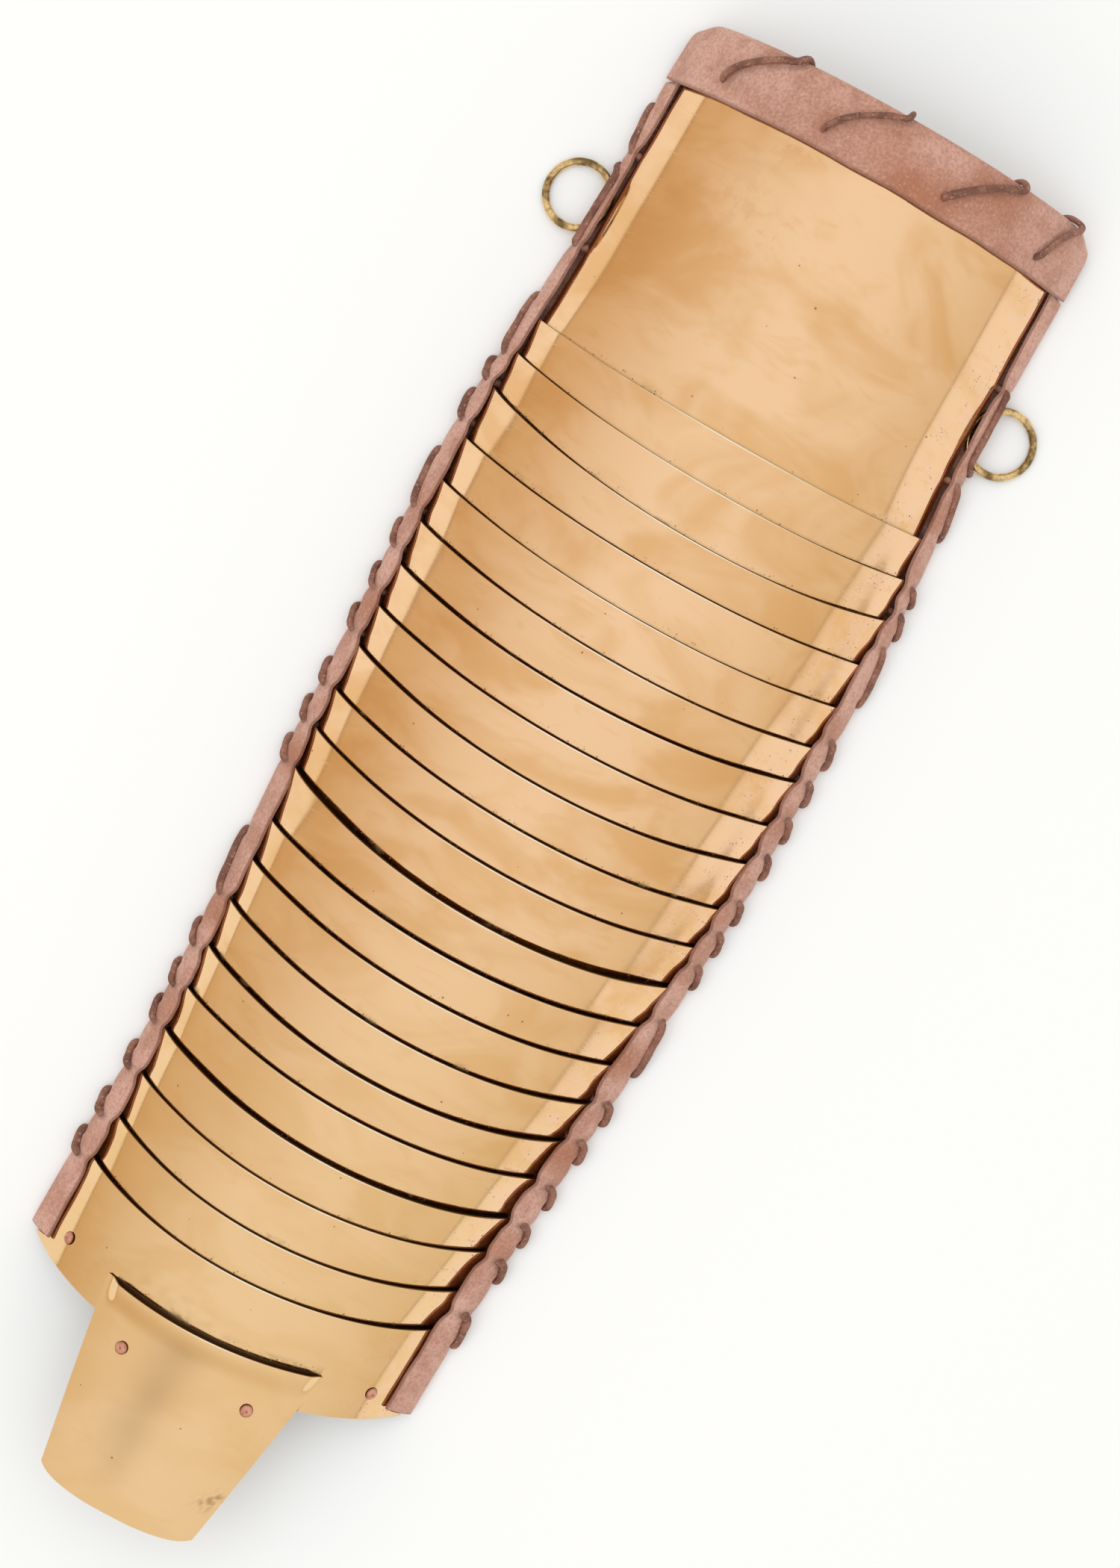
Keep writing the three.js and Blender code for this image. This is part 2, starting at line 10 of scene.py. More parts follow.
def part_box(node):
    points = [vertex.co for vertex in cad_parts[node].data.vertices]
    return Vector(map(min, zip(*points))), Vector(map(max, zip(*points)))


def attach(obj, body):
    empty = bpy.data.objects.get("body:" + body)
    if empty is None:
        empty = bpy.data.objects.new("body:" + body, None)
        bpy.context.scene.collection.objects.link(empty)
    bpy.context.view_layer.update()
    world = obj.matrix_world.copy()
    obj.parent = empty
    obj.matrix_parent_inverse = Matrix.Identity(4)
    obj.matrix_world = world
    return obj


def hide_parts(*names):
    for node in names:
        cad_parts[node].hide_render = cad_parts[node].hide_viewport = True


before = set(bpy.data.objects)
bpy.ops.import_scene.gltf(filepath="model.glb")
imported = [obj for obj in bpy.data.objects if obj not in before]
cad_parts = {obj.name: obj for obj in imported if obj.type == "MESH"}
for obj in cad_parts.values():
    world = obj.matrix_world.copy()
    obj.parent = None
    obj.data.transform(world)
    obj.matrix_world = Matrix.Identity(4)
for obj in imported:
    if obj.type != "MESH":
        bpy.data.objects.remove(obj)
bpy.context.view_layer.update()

# Camera
# The guard lies on its open side and is seen from nearly straight above, a little from the shoulder
# end. Its length leans across the upright picture, with the shoulder end at the upper right.
MM = 0.001
PICTURE_LONG_SIDE = 2100
FOCAL_PIXELS = 3909
SENSOR = 36
DISTANCE = 1216.7 * MM
TILT = math.radians(4.5)
ROLL = math.radians(29.5)
TARGET = Vector((12.3, 26.3, 40.0)) * MM

scene = bpy.context.scene
scene.view_settings.view_transform = "Standard"
lens = bpy.data.cameras.new("camera")
lens.sensor_width = SENSOR
lens.lens = SENSOR * FOCAL_PIXELS / PICTURE_LONG_SIDE
lens.clip_start = 0.05
lens.clip_end = 50
camera = bpy.data.objects.new("camera", lens)
scene.collection.objects.link(camera)
scene.camera = camera
toward_camera = Vector((0, math.sin(TILT), math.cos(TILT)))
toward_shoulder = Vector((0, math.cos(TILT), -math.sin(TILT)))
picture_right = Vector((math.cos(ROLL), 0, 0)) + math.sin(ROLL) * toward_shoulder
picture_up = Vector((-math.sin(ROLL), 0, 0)) + math.cos(ROLL) * toward_shoulder
turn = Matrix((picture_right, picture_up, toward_camera)).transposed()
camera.matrix_world = Matrix.Translation(TARGET + DISTANCE * toward_camera) @ turn.to_4x4()

# Floor and light
# A plain pale table in a room with a white ceiling and tan walls, which the brass mirrors. A broad soft
# light hangs over it and a smaller one stands at the hand end. Nothing polished shows either of them.
FLOOR_REACH = 6.0
FLOOR_WHITE = (0.93, 0.93, 0.93, 1)
BACKDROP = (1, 1, 1, 1)
CEILING = (1.0, 1.0, 1.0, 1)
WALL_LEFT = (0.74, 0.59, 0.40, 1)
WALL_RIGHT = (0.84, 0.77, 0.63, 1)
ROOM_STRENGTH = 0.95
Softbox = namedtuple("Softbox", "name size watts colour place")
SOFTBOXES = (
    Softbox("overhead", 2.4, 17.0, (0.74, 0.89, 1.0), (-0.3, 0.2, 2.3)),
    Softbox("low_light", 0.8, 3.0, (1.0, 1.0, 1.0), (-0.8, -2.0, 1.5)),
)


def make_node(tree, kind, inputs=None, **settings):
    """A shader node whose inputs are set to values or joined to other nodes' outputs."""
    made = tree.nodes.new(kind)
    for name, value in settings.items():
        setattr(made, name, value)
    for socket, value in (inputs or {}).items():
        if isinstance(value, bpy.types.NodeSocket):
            tree.links.new(value, made.inputs[socket])
        else:
            made.inputs[socket].default_value = value
    return made


def mix_colour(tree, factor, a, b):
    made = make_node(tree, "ShaderNodeMix", {"Factor": factor}, data_type="RGBA")
    for socket, value in ((made.inputs[6], a), (made.inputs[7], b)):
        if isinstance(value, bpy.types.NodeSocket):
            tree.links.new(value, socket)
        else:
            socket.default_value = value
    return made.outputs[2]


def ranged(tree, value, low, high, to_low=0.0, to_high=1.0, kind="SMOOTHSTEP"):
    made = make_node(tree, "ShaderNodeMapRange", {
        "Value": value, "From Min": low, "From Max": high, "To Min": to_low, "To Max": to_high,
    }, interpolation_type=kind)
    return made.outputs["Result"]


def new_material(name):
    """A material with its Principled shader, and its tree."""
    material = bpy.data.materials.new(name)
    material.use_nodes = True
    return material, material.node_tree, material.node_tree.nodes["Principled BSDF"]


def new_piece(name, bm, *materials):
    """A smooth-shaded object at the origin from a bmesh, with its materials."""
    mesh = bpy.data.meshes.new(name)
    bm.to_mesh(mesh)
    bm.free()
    mesh.polygons.foreach_set("use_smooth", [True] * len(mesh.polygons))
    for material in materials:
        mesh.materials.append(material)
    piece = bpy.data.objects.new(name, mesh)
    scene.collection.objects.link(piece)
    return piece


table_paint, _, shader = new_material("pale_table")
shader.inputs["Base Color"].default_value = FLOOR_WHITE
shader.inputs["Roughness"].default_value = 0.7
bm = bmesh.new()
bmesh.ops.create_grid(bm, x_segments=1, y_segments=1, size=FLOOR_REACH)
floor = new_piece("table_top", bm, table_paint)

room = bpy.data.worlds.new("room")
room.use_nodes = True
tree = room.node_tree
toward = make_node(tree, "ShaderNodeTexCoord").outputs["Generated"]
toward = make_node(tree, "ShaderNodeSeparateXYZ", {"Vector": toward}).outputs
walls = mix_colour(tree, ranged(tree, toward["X"], -0.7, 0.7), WALL_LEFT, WALL_RIGHT)
skirting = mix_colour(tree, ranged(tree, toward["Z"], 0.0, 0.035, 0.22, 0.0), walls, (0, 0, 0, 1))
seen = mix_colour(tree, ranged(tree, toward["Z"], 0.0, 1.0, kind="LINEAR"), skirting, CEILING)
behind = make_node(tree, "ShaderNodeLightPath").outputs["Is Camera Ray"]
tree.links.new(mix_colour(tree, behind, seen, BACKDROP), tree.nodes["Background"].inputs["Color"])
tree.nodes["Background"].inputs["Strength"].default_value = ROOM_STRENGTH
scene.world = room
for box in SOFTBOXES:
    light = bpy.data.lights.new(box.name, "AREA")
    light.size = box.size
    light.energy = box.watts
    light.color = box.colour
    lamp = bpy.data.objects.new(box.name, light)
    lamp.location = box.place
    lamp.rotation_euler = (-Vector(box.place)).to_track_quat("-Z", "Y").to_euler()
    lamp.visible_glossy = False
    scene.collection.objects.link(lamp)

# Shoulder plate
# One large sheet of brass, rolled to the arch of the arm and polished by hand to a soft shine. Its rim
# is held in a leather binding, and its lower edge runs on under the first lame.
SHEET = 1.0
NEST = 1.1
OVERLAP = 8.0
FOOT_HEIGHT = 11.0
RIM = 330.3
RIM_LEAN = 0.03

# The arch along its length, in millimetres: the sideways place of its middle, the half width of the
# leather on the table, the radius of the round back, how far in from the leather's outer edge the lames
# end, and the height of the leather's outer flange
Station = namedtuple("Station", "y centre half radius inset flange")
ARCH = tuple(Station(*row) for row in (
    (-340, -1.4, 92.5, 105.0, 9.0, 15.5),
    (-250, -1.4, 92.5, 105.0, 9.0, 15.5),
    (-212, -0.6, 92.6, 105.5, 9.0, 16.0),
    (-172, 1.5, 93.1, 106.5, 9.0, 16.0),
    (-132, 2.6, 94.7, 107.5, 9.0, 16.0),
    (-92, 3.2, 96.9, 108.5, 9.0, 16.0),
    (-52, 3.7, 98.8, 109.0, 9.0, 16.0),
    (-12, 3.7, 101.2, 109.5, 9.0, 16.0),
    (28, 3.8, 102.6, 110.0, 9.0, 16.0),
    (68, 3.1, 103.3, 110.0, 9.0, 16.0),
    (108, 2.1, 104.0, 110.0, 9.0, 15.8),
    (148, 2.0, 103.4, 109.0, 9.0, 15.0),
    (188, 1.5, 99.9, 107.0, 8.2, 13.5),
    (228, 1.3, 96.4, 105.0, 6.6, 12.2),
    (278, 1.5, 94.8, 103.0, 6.5, 12.0),
    (340, 1.6, 94.9, 102.0, 8.5, 12.0),
))

# The tables are in millimetres about a point of their own, and the frame has the part's true place. The
# left ring joins the two.
RING_PLACE = Vector((-103.4, 247.0))
ring_low, ring_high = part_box("ring_left")
SHIFT = ((ring_low + ring_high) / 2).to_2d() / MM - RING_PLACE


def placed(x, y, z):
    """A point of the tables' millimetres in the frame's metres."""
    return Vector((x + SHIFT.x, y + SHIFT.y, z)) * MM


def mix(a, b, t):
    return a + (b - a) * t


def smooth(low, high, value):
    t = min(max((value - low) / (high - low), 0), 1)
    return t * t * (3 - 2 * t)


def near(y, place, reach):
    return math.exp(-(((y - place) / reach) ** 2))


Section = namedtuple("Section", "centre half radius angle crown flange")


@lru_cache(maxsize=None)
def section(y):
    """The arch's section at y: a round back that ends in two feet."""
    last = len(ARCH) - 2
    i = 0
    while i < last and y > ARCH[i + 1].y:
        i += 1
    around = [ARCH[min(max(k, 0), last + 1)] for k in (i - 1, i, i + 1, i + 2)]
    width = around[2].y - around[1].y
    t = min(max((y - around[1].y) / width, 0), 1)
    ease = 2 * t**3 - 3 * t**2 + 1
    leave = t**3 - 2 * t**2 + t
    reach = t**3 - t**2

    def value(key):
        v = [getattr(station, key) for station in around]
        slope_a = (v[2] - v[0]) / (around[2].y - around[0].y)
        slope_b = (v[3] - v[1]) / (around[3].y - around[1].y)
        return ease * v[1] + (1 - ease) * v[2] + width * (leave * slope_a + reach * slope_b)

    half = value("half")
    radius = value("radius")
    angle = math.asin((half - value("inset")) / radius)
    crown = FOOT_HEIGHT + radius * (1 - math.cos(angle))
    return Section(value("centre"), half, radius, angle, crown, value("flange"))


# The hand-bent sides swell past the round low down, along the lames and less along the shoulder plate.
# Each entry is how far at most, how high above the foot that is, how far up and down it fades out, and
# where along the arm it has faded out and where it is whole.
Fullness = namedtuple("Fullness", "rise above_foot reach gone whole")
FULL_LAMES = {"left": Fullness(3.3, 5.0, 20.0, -290, -115), "right": Fullness(3.6, 0.0, 15.5, -160, 25)}
FULL_SHOULDER = {"left": Fullness(1.45, 9.0, 14.0, 319, 305), "right": Fullness(0.6, 0.0, 14.0, 319, 305)}
LAMES_SWELL_TO = 160
PLATE_SWELL_FROM = 235


def fuller(y, s):
    """How far the sides swell past the round: less near the shoulder, and not at all at its rim."""
    here = section(y)
    above_foot = (1 - abs(s)) * here.radius * here.angle
    side = "left" if s < 0 else "right"
    low, high = FULL_LAMES[side], FULL_SHOULDER[side]
    up = smooth(LAMES_SWELL_TO, PLATE_SWELL_FROM, y)
    kept = smooth(low.gone, low.whole, y)
    held = 1 - smooth(high.whole, high.gone, y)
    swell = low.rise * near(above_foot, low.above_foot, low.reach) * (1 - up) * kept
    return swell + high.rise * near(above_foot, high.above_foot, high.reach) * up * held


def on_arch(y, s, out=0.0):
    """A point on the section at y: s is -1 at the left foot and 1 at the right, out is outside the lames."""
    here = section(y)
    t = s * here.angle
    reach = here.radius + out + fuller(y, s)
    return Vector((here.centre + reach * math.sin(t), y, here.crown - here.radius + reach * math.cos(t)))


def s_at(y, x):
    """The place across the section at y, from -1 to 1, that has the sideways place x."""
    here = section(y)
    return math.asin(min(max((x - here.centre) / here.radius, -1), 1)) / here.angle


Edge = namedtuple("Edge", "top lean slant lift sides", defaults=(0.0, 0.0))


def edge_y(edge, s):
    """Where a cut edge lies along the arm: it falls back towards the shoulder as it drops."""
    here = section(edge.top)
    drop = here.radius * (1 - math.cos(s * here.angle))
    return edge.top + edge.lean * drop + edge.slant * here.radius * math.sin(s * here.angle)


def stand(edge, s):
    """How far the sprung upper edge stands off what lies under it, more or less towards its ends."""
    return (edge.lift + edge.sides * s * s) * (1 - abs(s) ** 6)


def on_edge(edge, s, out=0.0):
    return on_arch(edge_y(edge, s), s, out)


def waver(point, seed, size, scale):
    """A smooth random length about zero, for hand-worked sheet and leather."""
    return size * noise.noise(Vector((point.x / scale, point.y / scale, point.z / scale + 17.3 * seed)))


def outwards(s):
    """Roughly the way out of the arch at s."""
    return Vector((math.sin(s), 0, math.cos(s)))


def grid(columns, rows, at, marks=()):
    """A sheet of faces with its points moved to at(u, v), where u and v run from 0 to 1. marks are named
    values at(u, v) too, which the materials read."""
    bm = bmesh.new()
    bm.loops.layers.uv.new("map")
    bmesh.ops.create_grid(bm, x_segments=columns, y_segments=rows, size=1, calc_uvs=True)
    layers = [(bm.verts.layers.float.new(name), value) for name, value in marks]
    for vert in bm.verts:
        u = (vert.co.x + 1) / 2
        v = (vert.co.y + 1) / 2
        for layer, value in layers:
            vert[layer] = value(u, v)
        vert.co = placed(*at(u, v))
    return bm


def give_thickness(piece, thickness, side, arris, segments=2):
    """Solidify and then round the cut edges. side is 1 for a sheet whose faces lie on its outside. The
    inside and the cut edges take the piece's second material, where it has one."""
    wall = piece.modifiers.new("wall", "SOLIDIFY")
    wall.thickness = thickness * MM
    wall.offset = -side
    wall.use_even_offset = True
    if len(piece.data.materials) > 1:
        wall.material_offset = 1
        wall.material_offset_rim = 1
    edge = piece.modifiers.new("arris", "BEVEL")
    edge.width = arris * MM
    edge.segments = segments
    edge.limit_method = "ANGLE"
    edge.angle_limit = math.radians(50)
    edge.harden_normals = True


# Polished brass sheet. It is pale gold with soft amber clouds, a little yellower towards the hand. Fine
# specks and greenish dirt gather above the next lame, and the right ends are pitted and pink. Painted shade
# darkens the brass just above and under the edge of the next lame, and a painted glint lights the upper cut
# edges near the crown.
PALE_GOLD = (0.93, 0.615, 0.355, 1)
AMBER = (0.83, 0.49, 0.225, 1)
LEMON = (0.86, 0.60, 0.30, 1)
PINK_BLOOM = (0.92, 0.62, 0.43, 1)
SPECK_BROWN = (0.16, 0.09, 0.03, 1)
DIRT_AND_SHADE_GREEN = (0.38, 0.27, 0.11, 1)
FRECKLE = (0.74, 0.36, 0.16, 1)
PAINTED_GLINT = (1.0, 0.93, 0.76, 1)
TARNISH_AND_GAP_SHADE = (0.23, 0.12, 0.05, 1)
TARNISH_PALE = (0.24, 0.15, 0.06, 1)
SMOKE = (0.50, 0.31, 0.16, 1)


def maths(tree, operation, a, b=0.0):
    made = make_node(tree, "ShaderNodeMath", {0: a, 1: b}, operation=operation)
    return made.outputs[0]


def mark(tree, name):
    return make_node(tree, "ShaderNodeAttribute", attribute_name=name).outputs["Fac"]


def stretched(tree, vector, scale, turned=(0, 0, 0)):
    made = make_node(tree, "ShaderNodeMapping", {"Vector": vector, "Scale": scale, "Rotation": turned})
    return made.outputs["Vector"]


def grain(tree, vector, scale, detail=2.0, roughness=0.55, distortion=0.0):
    made = make_node(tree, "ShaderNodeTexNoise", {
        "Vector": vector, "Scale": scale, "Detail": detail, "Roughness": roughness, "Distortion": distortion,
    })
    return made.outputs["Fac"]


def dots(tree, vector, scale, size, share):
    """Round specks: one in each cell of a lattice, shown in a share of the cells."""
    cell = make_node(tree, "ShaderNodeTexVoronoi", {"Vector": vector, "Scale": scale})
    chosen = make_node(tree, "ShaderNodeSeparateColor", {"Color": cell.outputs["Color"]})
    shown = maths(tree, "LESS_THAN", chosen.outputs["Red"], share)
    reach = maths(tree, "MULTIPLY", chosen.outputs["Green"], size)
    inside = maths(tree, "LESS_THAN", cell.outputs["Distance"], reach)
    return maths(tree, "MULTIPLY", inside, shown)


def roughen(tree, shader, height, strength, distance):
    """Bump for marks too small to be in the mesh."""
    bump = make_node(tree, "ShaderNodeBump", {"Height": height, "Strength": strength, "Distance": distance})
    tree.links.new(bump.outputs["Normal"], shader.inputs["Normal"])


def own_place(tree):
    return make_node(tree, "ShaderNodeTexCoord").outputs["Object"]


def brass_material():
    material, tree, shader = new_material("brass_sheet")
    place = own_place(tree)
    aside = make_node(tree, "ShaderNodeCombineXYZ", {"Z": mark(tree, "sheet")}).outputs[0]
    own = make_node(tree, "ShaderNodeVectorMath", {0: place, 1: aside}, operation="ADD").outputs[0]
    side = mark(tree, "side")
    covered = mark(tree, "covered")
    where = make_node(tree, "ShaderNodeSeparateXYZ", {"Vector": place})

    clouds = grain(tree, stretched(tree, own, (1.0, 1.6, 1.0)), 17, 3, 0.55, 0.8)
    swirls = grain(tree, stretched(tree, own, (1, 3.0, 1), (0, 0, 0.5)), 34, 2, 0.6, 1.4)
    blotch = grain(tree, own, 110, 3, 0.65)
    gold = mix_colour(tree, ranged(tree, clouds, 0.40, 0.66), PALE_GOLD, AMBER)
    gold = mix_colour(tree, ranged(tree, swirls, 0.54, 0.74, 0, 0.40), gold, AMBER)
    gold = mix_colour(tree, ranged(tree, where.outputs["Y"], 0.05, -0.26, 0, 0.60), gold, LEMON)
    right = maths(tree, "MULTIPLY", ranged(tree, side, 0.62, 0.90), ranged(tree, blotch, 0.40, 0.58))
    gold = mix_colour(tree, maths(tree, "MULTIPLY", right, 0.5), gold, PINK_BLOOM)
    gold = mix_colour(tree, mark(tree, "stain"), gold, SMOKE)

    near_cover = ranged(tree, covered, 0.0045, 0.0)
    handwards = ranged(tree, where.outputs["Y"], 0.05, -0.12)
    low_left = maths(tree, "MULTIPLY", ranged(tree, side, 0.15, -0.35), handwards)
    patches = maths(tree, "MULTIPLY", ranged(tree, swirls, 0.52, 0.66), ranged(tree, blotch, 0.46, 0.66))
    dirt = maths(tree, "MULTIPLY", near_cover, patches)
    low = ranged(tree, where.outputs["Y"], -0.02, -0.20, 0.35, 0.60)
    dirty = maths(tree, "ADD", low, maths(tree, "MULTIPLY", low_left, 0.30))
    gold = mix_colour(tree, maths(tree, "MULTIPLY", dirt, dirty), gold, DIRT_AND_SHADE_GREEN)
    # Painted shade: the brass is darkened towards the dirt green over the last 1.6 mm above the edge that
    # covers it.
    shade = ranged(tree, covered, 0.0016, 0.0002, 0, 0.45)
    gold = mix_colour(tree, shade, gold, DIRT_AND_SHADE_GREEN)
    freckled = maths(tree, "MULTIPLY", mark(tree, "freckles"), ranged(tree, blotch, 0.50, 0.56))
    gold = mix_colour(tree, maths(tree, "MULTIPLY", freckled, 0.55), gold, FRECKLE)
    specks = dots(tree, own, 150, 0.085, 0.22)
    fine = dots(tree, own, 820, 0.42, 0.50)
    pitted = maths(tree, "MULTIPLY", right, ranged(tree, swirls, 0.42, 0.54))
    row = maths(tree, "MULTIPLY", ranged(tree, covered, 0.0036, 0.0012), ranged(tree, swirls, 0.45, 0.55))
    pits = maths(tree, "MULTIPLY", fine, maths(tree, "MAXIMUM", pitted, row))
    flecks = maths(tree, "MAXIMUM", specks, pits)
    gold = mix_colour(tree, maths(tree, "MULTIPLY", flecks, 0.62), gold, SPECK_BROWN)
    # Painted glint: a pale cream highlight painted along the upper cut edge of each sheet except the shoulder
    # plate, strongest near the crown.
    glint = maths(tree, "MULTIPLY", mark(tree, "glint"), ranged(tree, mark(tree, "down"), 0.00060, 0.00035))
    gold = mix_colour(tree, glint, gold, PAINTED_GLINT)
    # Painted shade: the brass is painted tarnish brown under the covering edge and in a strip 0.4 mm wide
    # just above it, where the gap's shadow lies.
    hidden_and_gap_shade = ranged(tree, covered, 0.0004, -0.0002)
    gold = mix_colour(tree, hidden_and_gap_shade, gold, TARNISH_AND_GAP_SHADE)
    tree.links.new(gold, shader.inputs["Base Color"])

    strokes = grain(tree, stretched(tree, own, (1, 26, 1), (0, 0, 0.42)), 60, 2)
    scratches = ranged(tree, strokes, 0.60, 0.70)
    dull = ranged(tree, clouds, 0.3, 0.7, 0.045, 0.085)
    dull = maths(tree, "ADD", dull, maths(tree, "MULTIPLY", scratches, 0.10))
    spoilt = maths(tree, "MAXIMUM", maths(tree, "MAXIMUM", dirt, flecks), hidden_and_gap_shade)
    dull = maths(tree, "ADD", dull, maths(tree, "MULTIPLY", spoilt, 0.35))
    tree.links.new(dull, shader.inputs["Roughness"])
    shader.inputs["Metallic"].default_value = 1.0

    height = maths(tree, "SUBTRACT", strokes, pits)
    roughen(tree, shader, height, 0.2, 0.00005)
    return material


def sheet_marks(number, covered, down, side=lambda u, v: 2 * u - 1, **more):
    """The values that the brass reads: a seed, the place across, the distances in metres from the edge that
    covers the sheet and down from its own, and the strength of the painted glint on that edge near the crown."""
    marks = {
        "sheet": lambda u, v: number, "side": side, "covered": covered, "down": down,
        "glint": lambda u, v: near(2 * u - 1, 0.04, 0.34) if number > 0 else 0.0,
    }
    return tuple({**marks, **more}.items())


def underside_material():
    """The unpolished inside and the cut edges of the sheet, brown with tarnish."""
    material, tree, shader = new_material("brass_underside")
    place = own_place(tree)
    patches = grain(tree, place, 60, 3)
    metal = mix_colour(tree, ranged(tree, patches, 0.35, 0.65), TARNISH_AND_GAP_SHADE, TARNISH_PALE)
    tree.links.new(metal, shader.inputs["Base Color"])
    shader.inputs["Metallic"].default_value = 1.0
    tree.links.new(ranged(tree, patches, 0.3, 0.7, 0.42, 0.6), shader.inputs["Roughness"])
    return material


brass = brass_material()
underside = underside_material()
FIRST_EDGE = Edge(185.6, 0.129, -0.009, 0.2, 0.6)
PLATE_LENGTH = RIM - FIRST_EDGE.top
PLATE_END = 1 + OVERLAP / PLATE_LENGTH
PLATE_START = 0.012
BELLY = 0.16

# A distance in metres past all the marks that follow an edge
FAR = 0.02


def plate_edge(w):
    """The shoulder plate's rows, from its rim at 0 to the first lame's edge at 1 and a little beyond."""
    top = mix(RIM, FIRST_EDGE.top, w)
    return Edge(top, mix(RIM_LEAN, FIRST_EDGE.lean, w), FIRST_EDGE.slant * w)


def plate_point(u, v):
    w = mix(PLATE_START, PLATE_END, 1 - v)
    s = 2 * u - 1
    point = on_edge(plate_edge(w), s, -(SHEET + NEST) * w * w)
    return point + waver(point, 0, BELLY, 55) * outwards(s)


def uncovered(u, v):
    """The distance in metres from the first lame's edge."""
    return PLATE_LENGTH * (1 - (1 - v) * PLATE_END) * MM


def freckles(u, v):
    """Small orange stains in the upper middle of the plate, and a few more below them."""
    broken = 0.6 + 0.9 * noise.noise(Vector((u * 9, v * 9, 4)))
    upper = near(u, 0.37, 0.06) * near(v, 0.82, 0.09)
    lower = 0.5 * near(u, 0.34, 0.16) * near(v, 0.55, 0.16)
    return broken * max(upper, lower)


marks = sheet_marks(0, uncovered, lambda u, v: FAR, freckles=freckles)
bm = grid(128, 96, plate_point, marks)
plate = new_piece("shoulder_plate_sheet", bm, brass, underside)
give_thickness(plate, SHEET, 1, 0.25)
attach(plate, "root")
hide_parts("shoulder_plate")

# Lames
# Twenty narrow strips of the same brass, each sprung over the one above it towards the hand. Their upper
# edges are cut straight and stand off unevenly, so a dark line of shadow lies above each, deepened by painted
# shade in the brass.
# Each row is one upper edge: its place at the crown, how it falls back as it drops, its slant across,
# how far it stands off more than it has to, and how much more it does so towards its ends.
EDGES = (FIRST_EDGE,) + tuple(Edge(*row) for row in (
    (164.8, 0.185, -0.018, 0.3, 0.6),
    (142.8, 0.253, -0.023, 0.9, 1.0),
    (124.7, 0.167, -0.010, 0.0, 0.4),
    (104.1, 0.172, -0.011, -0.5, 1.4),
    (84.0, 0.182, -0.011, 1.0, 0.4),
    (64.7, 0.204, 0.006, 0.7, 0.9),
    (45.4, 0.178, -0.002, 0.4, 0.6),
    (24.6, 0.223, 0.0, 0.5, 0.9),
    (4.8, 0.181, -0.009, 0.4, 0.6),
    (-14.7, 0.195, -0.013, 0.4, 0.0),
    (-36.8, 0.254, -0.020, 2.4, 0.6),
    (-56.4, 0.190, 0.001, 0.5, 0.0),
    (-75.6, 0.189, -0.008, 0.5, 0.4),
    (-96.9, 0.220, -0.008, 0.5, 0.5),
    (-118.5, 0.251, 0.002, 0.7, 0.6),
    (-135.6, 0.181, 0.007, 0.0, 0.3),
    (-157.4, 0.213, 0.007, 1.5, 0.2),
    (-177.4, 0.214, 0.033, -0.7, 0.4),
    (-198.7, 0.228, 0.036, -0.3, 0.8),
))
WRIST_EDGE = Edge(-218.7, 0.209, 0.044, -0.5, 1.6)


def lame_piece(number, own, below):
    """One lame: from its own upper edge down to where it ends under the next one."""
    length = own.top - below.top + OVERLAP

    def point(u, v):
        s = 2 * u - 1
        upper = on_edge(own, s, stand(own, s))
        lower = on_edge(below, s, -SHEET - NEST)
        down = (1 - v) * length / (own.top - below.top)
        place = upper.lerp(lower, down)
        return place + waver(place, number, BELLY, 48) * (1 - v) * v * 4 * outwards(s)

    def uncovered(u, v):
        return (v * length - OVERLAP) * MM

    marks = sheet_marks(number * 0.37, uncovered, lambda u, v: (1 - v) * length * MM)
    piece = new_piece(f"lame_{number:02d}_sheet", grid(112, 12, point, marks), brass, underside)
    give_thickness(piece, SHEET, 1, 0.22)
    return piece


for i, own in enumerate(EDGES):
    below = EDGES[i + 1] if i + 1 < len(EDGES) else WRIST_EDGE
    lame = lame_piece(i + 1, own, below)
    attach(lame, "root")
    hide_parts(f"lame_{i + 1:02d}")

# Wrist plate
# A taller strip at the hand end, lapped over the last lame. Nothing covers its lower edge, which runs
# out past the ends of the leather, and two rivets hold the leather to it.
WRIST_END = Edge(-263.9, 0.198, 0.044)

# The plate's height in metres, along which the painted glint on its upper edge fades
WRIST_HEIGHT = 0.045

# The ends near the lower edge reach a little further down the sides
Ear = namedtuple("Ear", "length reach")
EAR = Ear(4.2, 0.11)

# The hand guard, which the dirt and the painted shade on the wrist plate follow: the places along the arm of
# its edges at the middle, their half widths, how far each bows, how its lower corners curl, its slant, how
# far the upper edge stands off, and the depth and width of its valley. The gap at the top lies a little to
# the right.
Guard = namedtuple("Guard", "top end top_half end_half top_bow bow corner slant lift valley valley_reach")
GUARD = Guard(-246.9, -334.8, 50.0, 35.8, 3.0, 2.6, 2.9, 0.06, 3.9, 0.9, 11.0)
GAP_MIDDLE = 0.02
GAP_HALF = 0.94


def wrist_point(u, v):
    height = WRIST_EDGE.top - WRIST_END.top
    s = (2 * u - 1) * (1 + EAR.reach * (1 - smooth(0, EAR.length / height, v)))
    upper = on_edge(WRIST_EDGE, s, stand(WRIST_EDGE, min(abs(s), 1)))
    place = upper.lerp(on_edge(WRIST_END, s), 1 - v)
    return place + waver(place, 31, BELLY, 50) * (1 - v) * v * 4 * outwards(s)


def from_guard(u, v):
    """The distance in metres from the hand guard's upper edge, set 0.7 mm higher so that the painted shade of
    the gap under that edge reaches above it. The dirt just above the edge follows it too.
    """
    point = Vector(wrist_point(u, v))
    across = point.x - section(point.y).centre
    share = across / GUARD.top_half
    above = point.y - (GUARD.top + GUARD.slant * across + GUARD.top_bow * share**2)
    beside = max(abs(share - GAP_MIDDLE) - GAP_HALF, 0) * GUARD.top_half
    return (max(above, 3 * beside) - 0.7) * MM


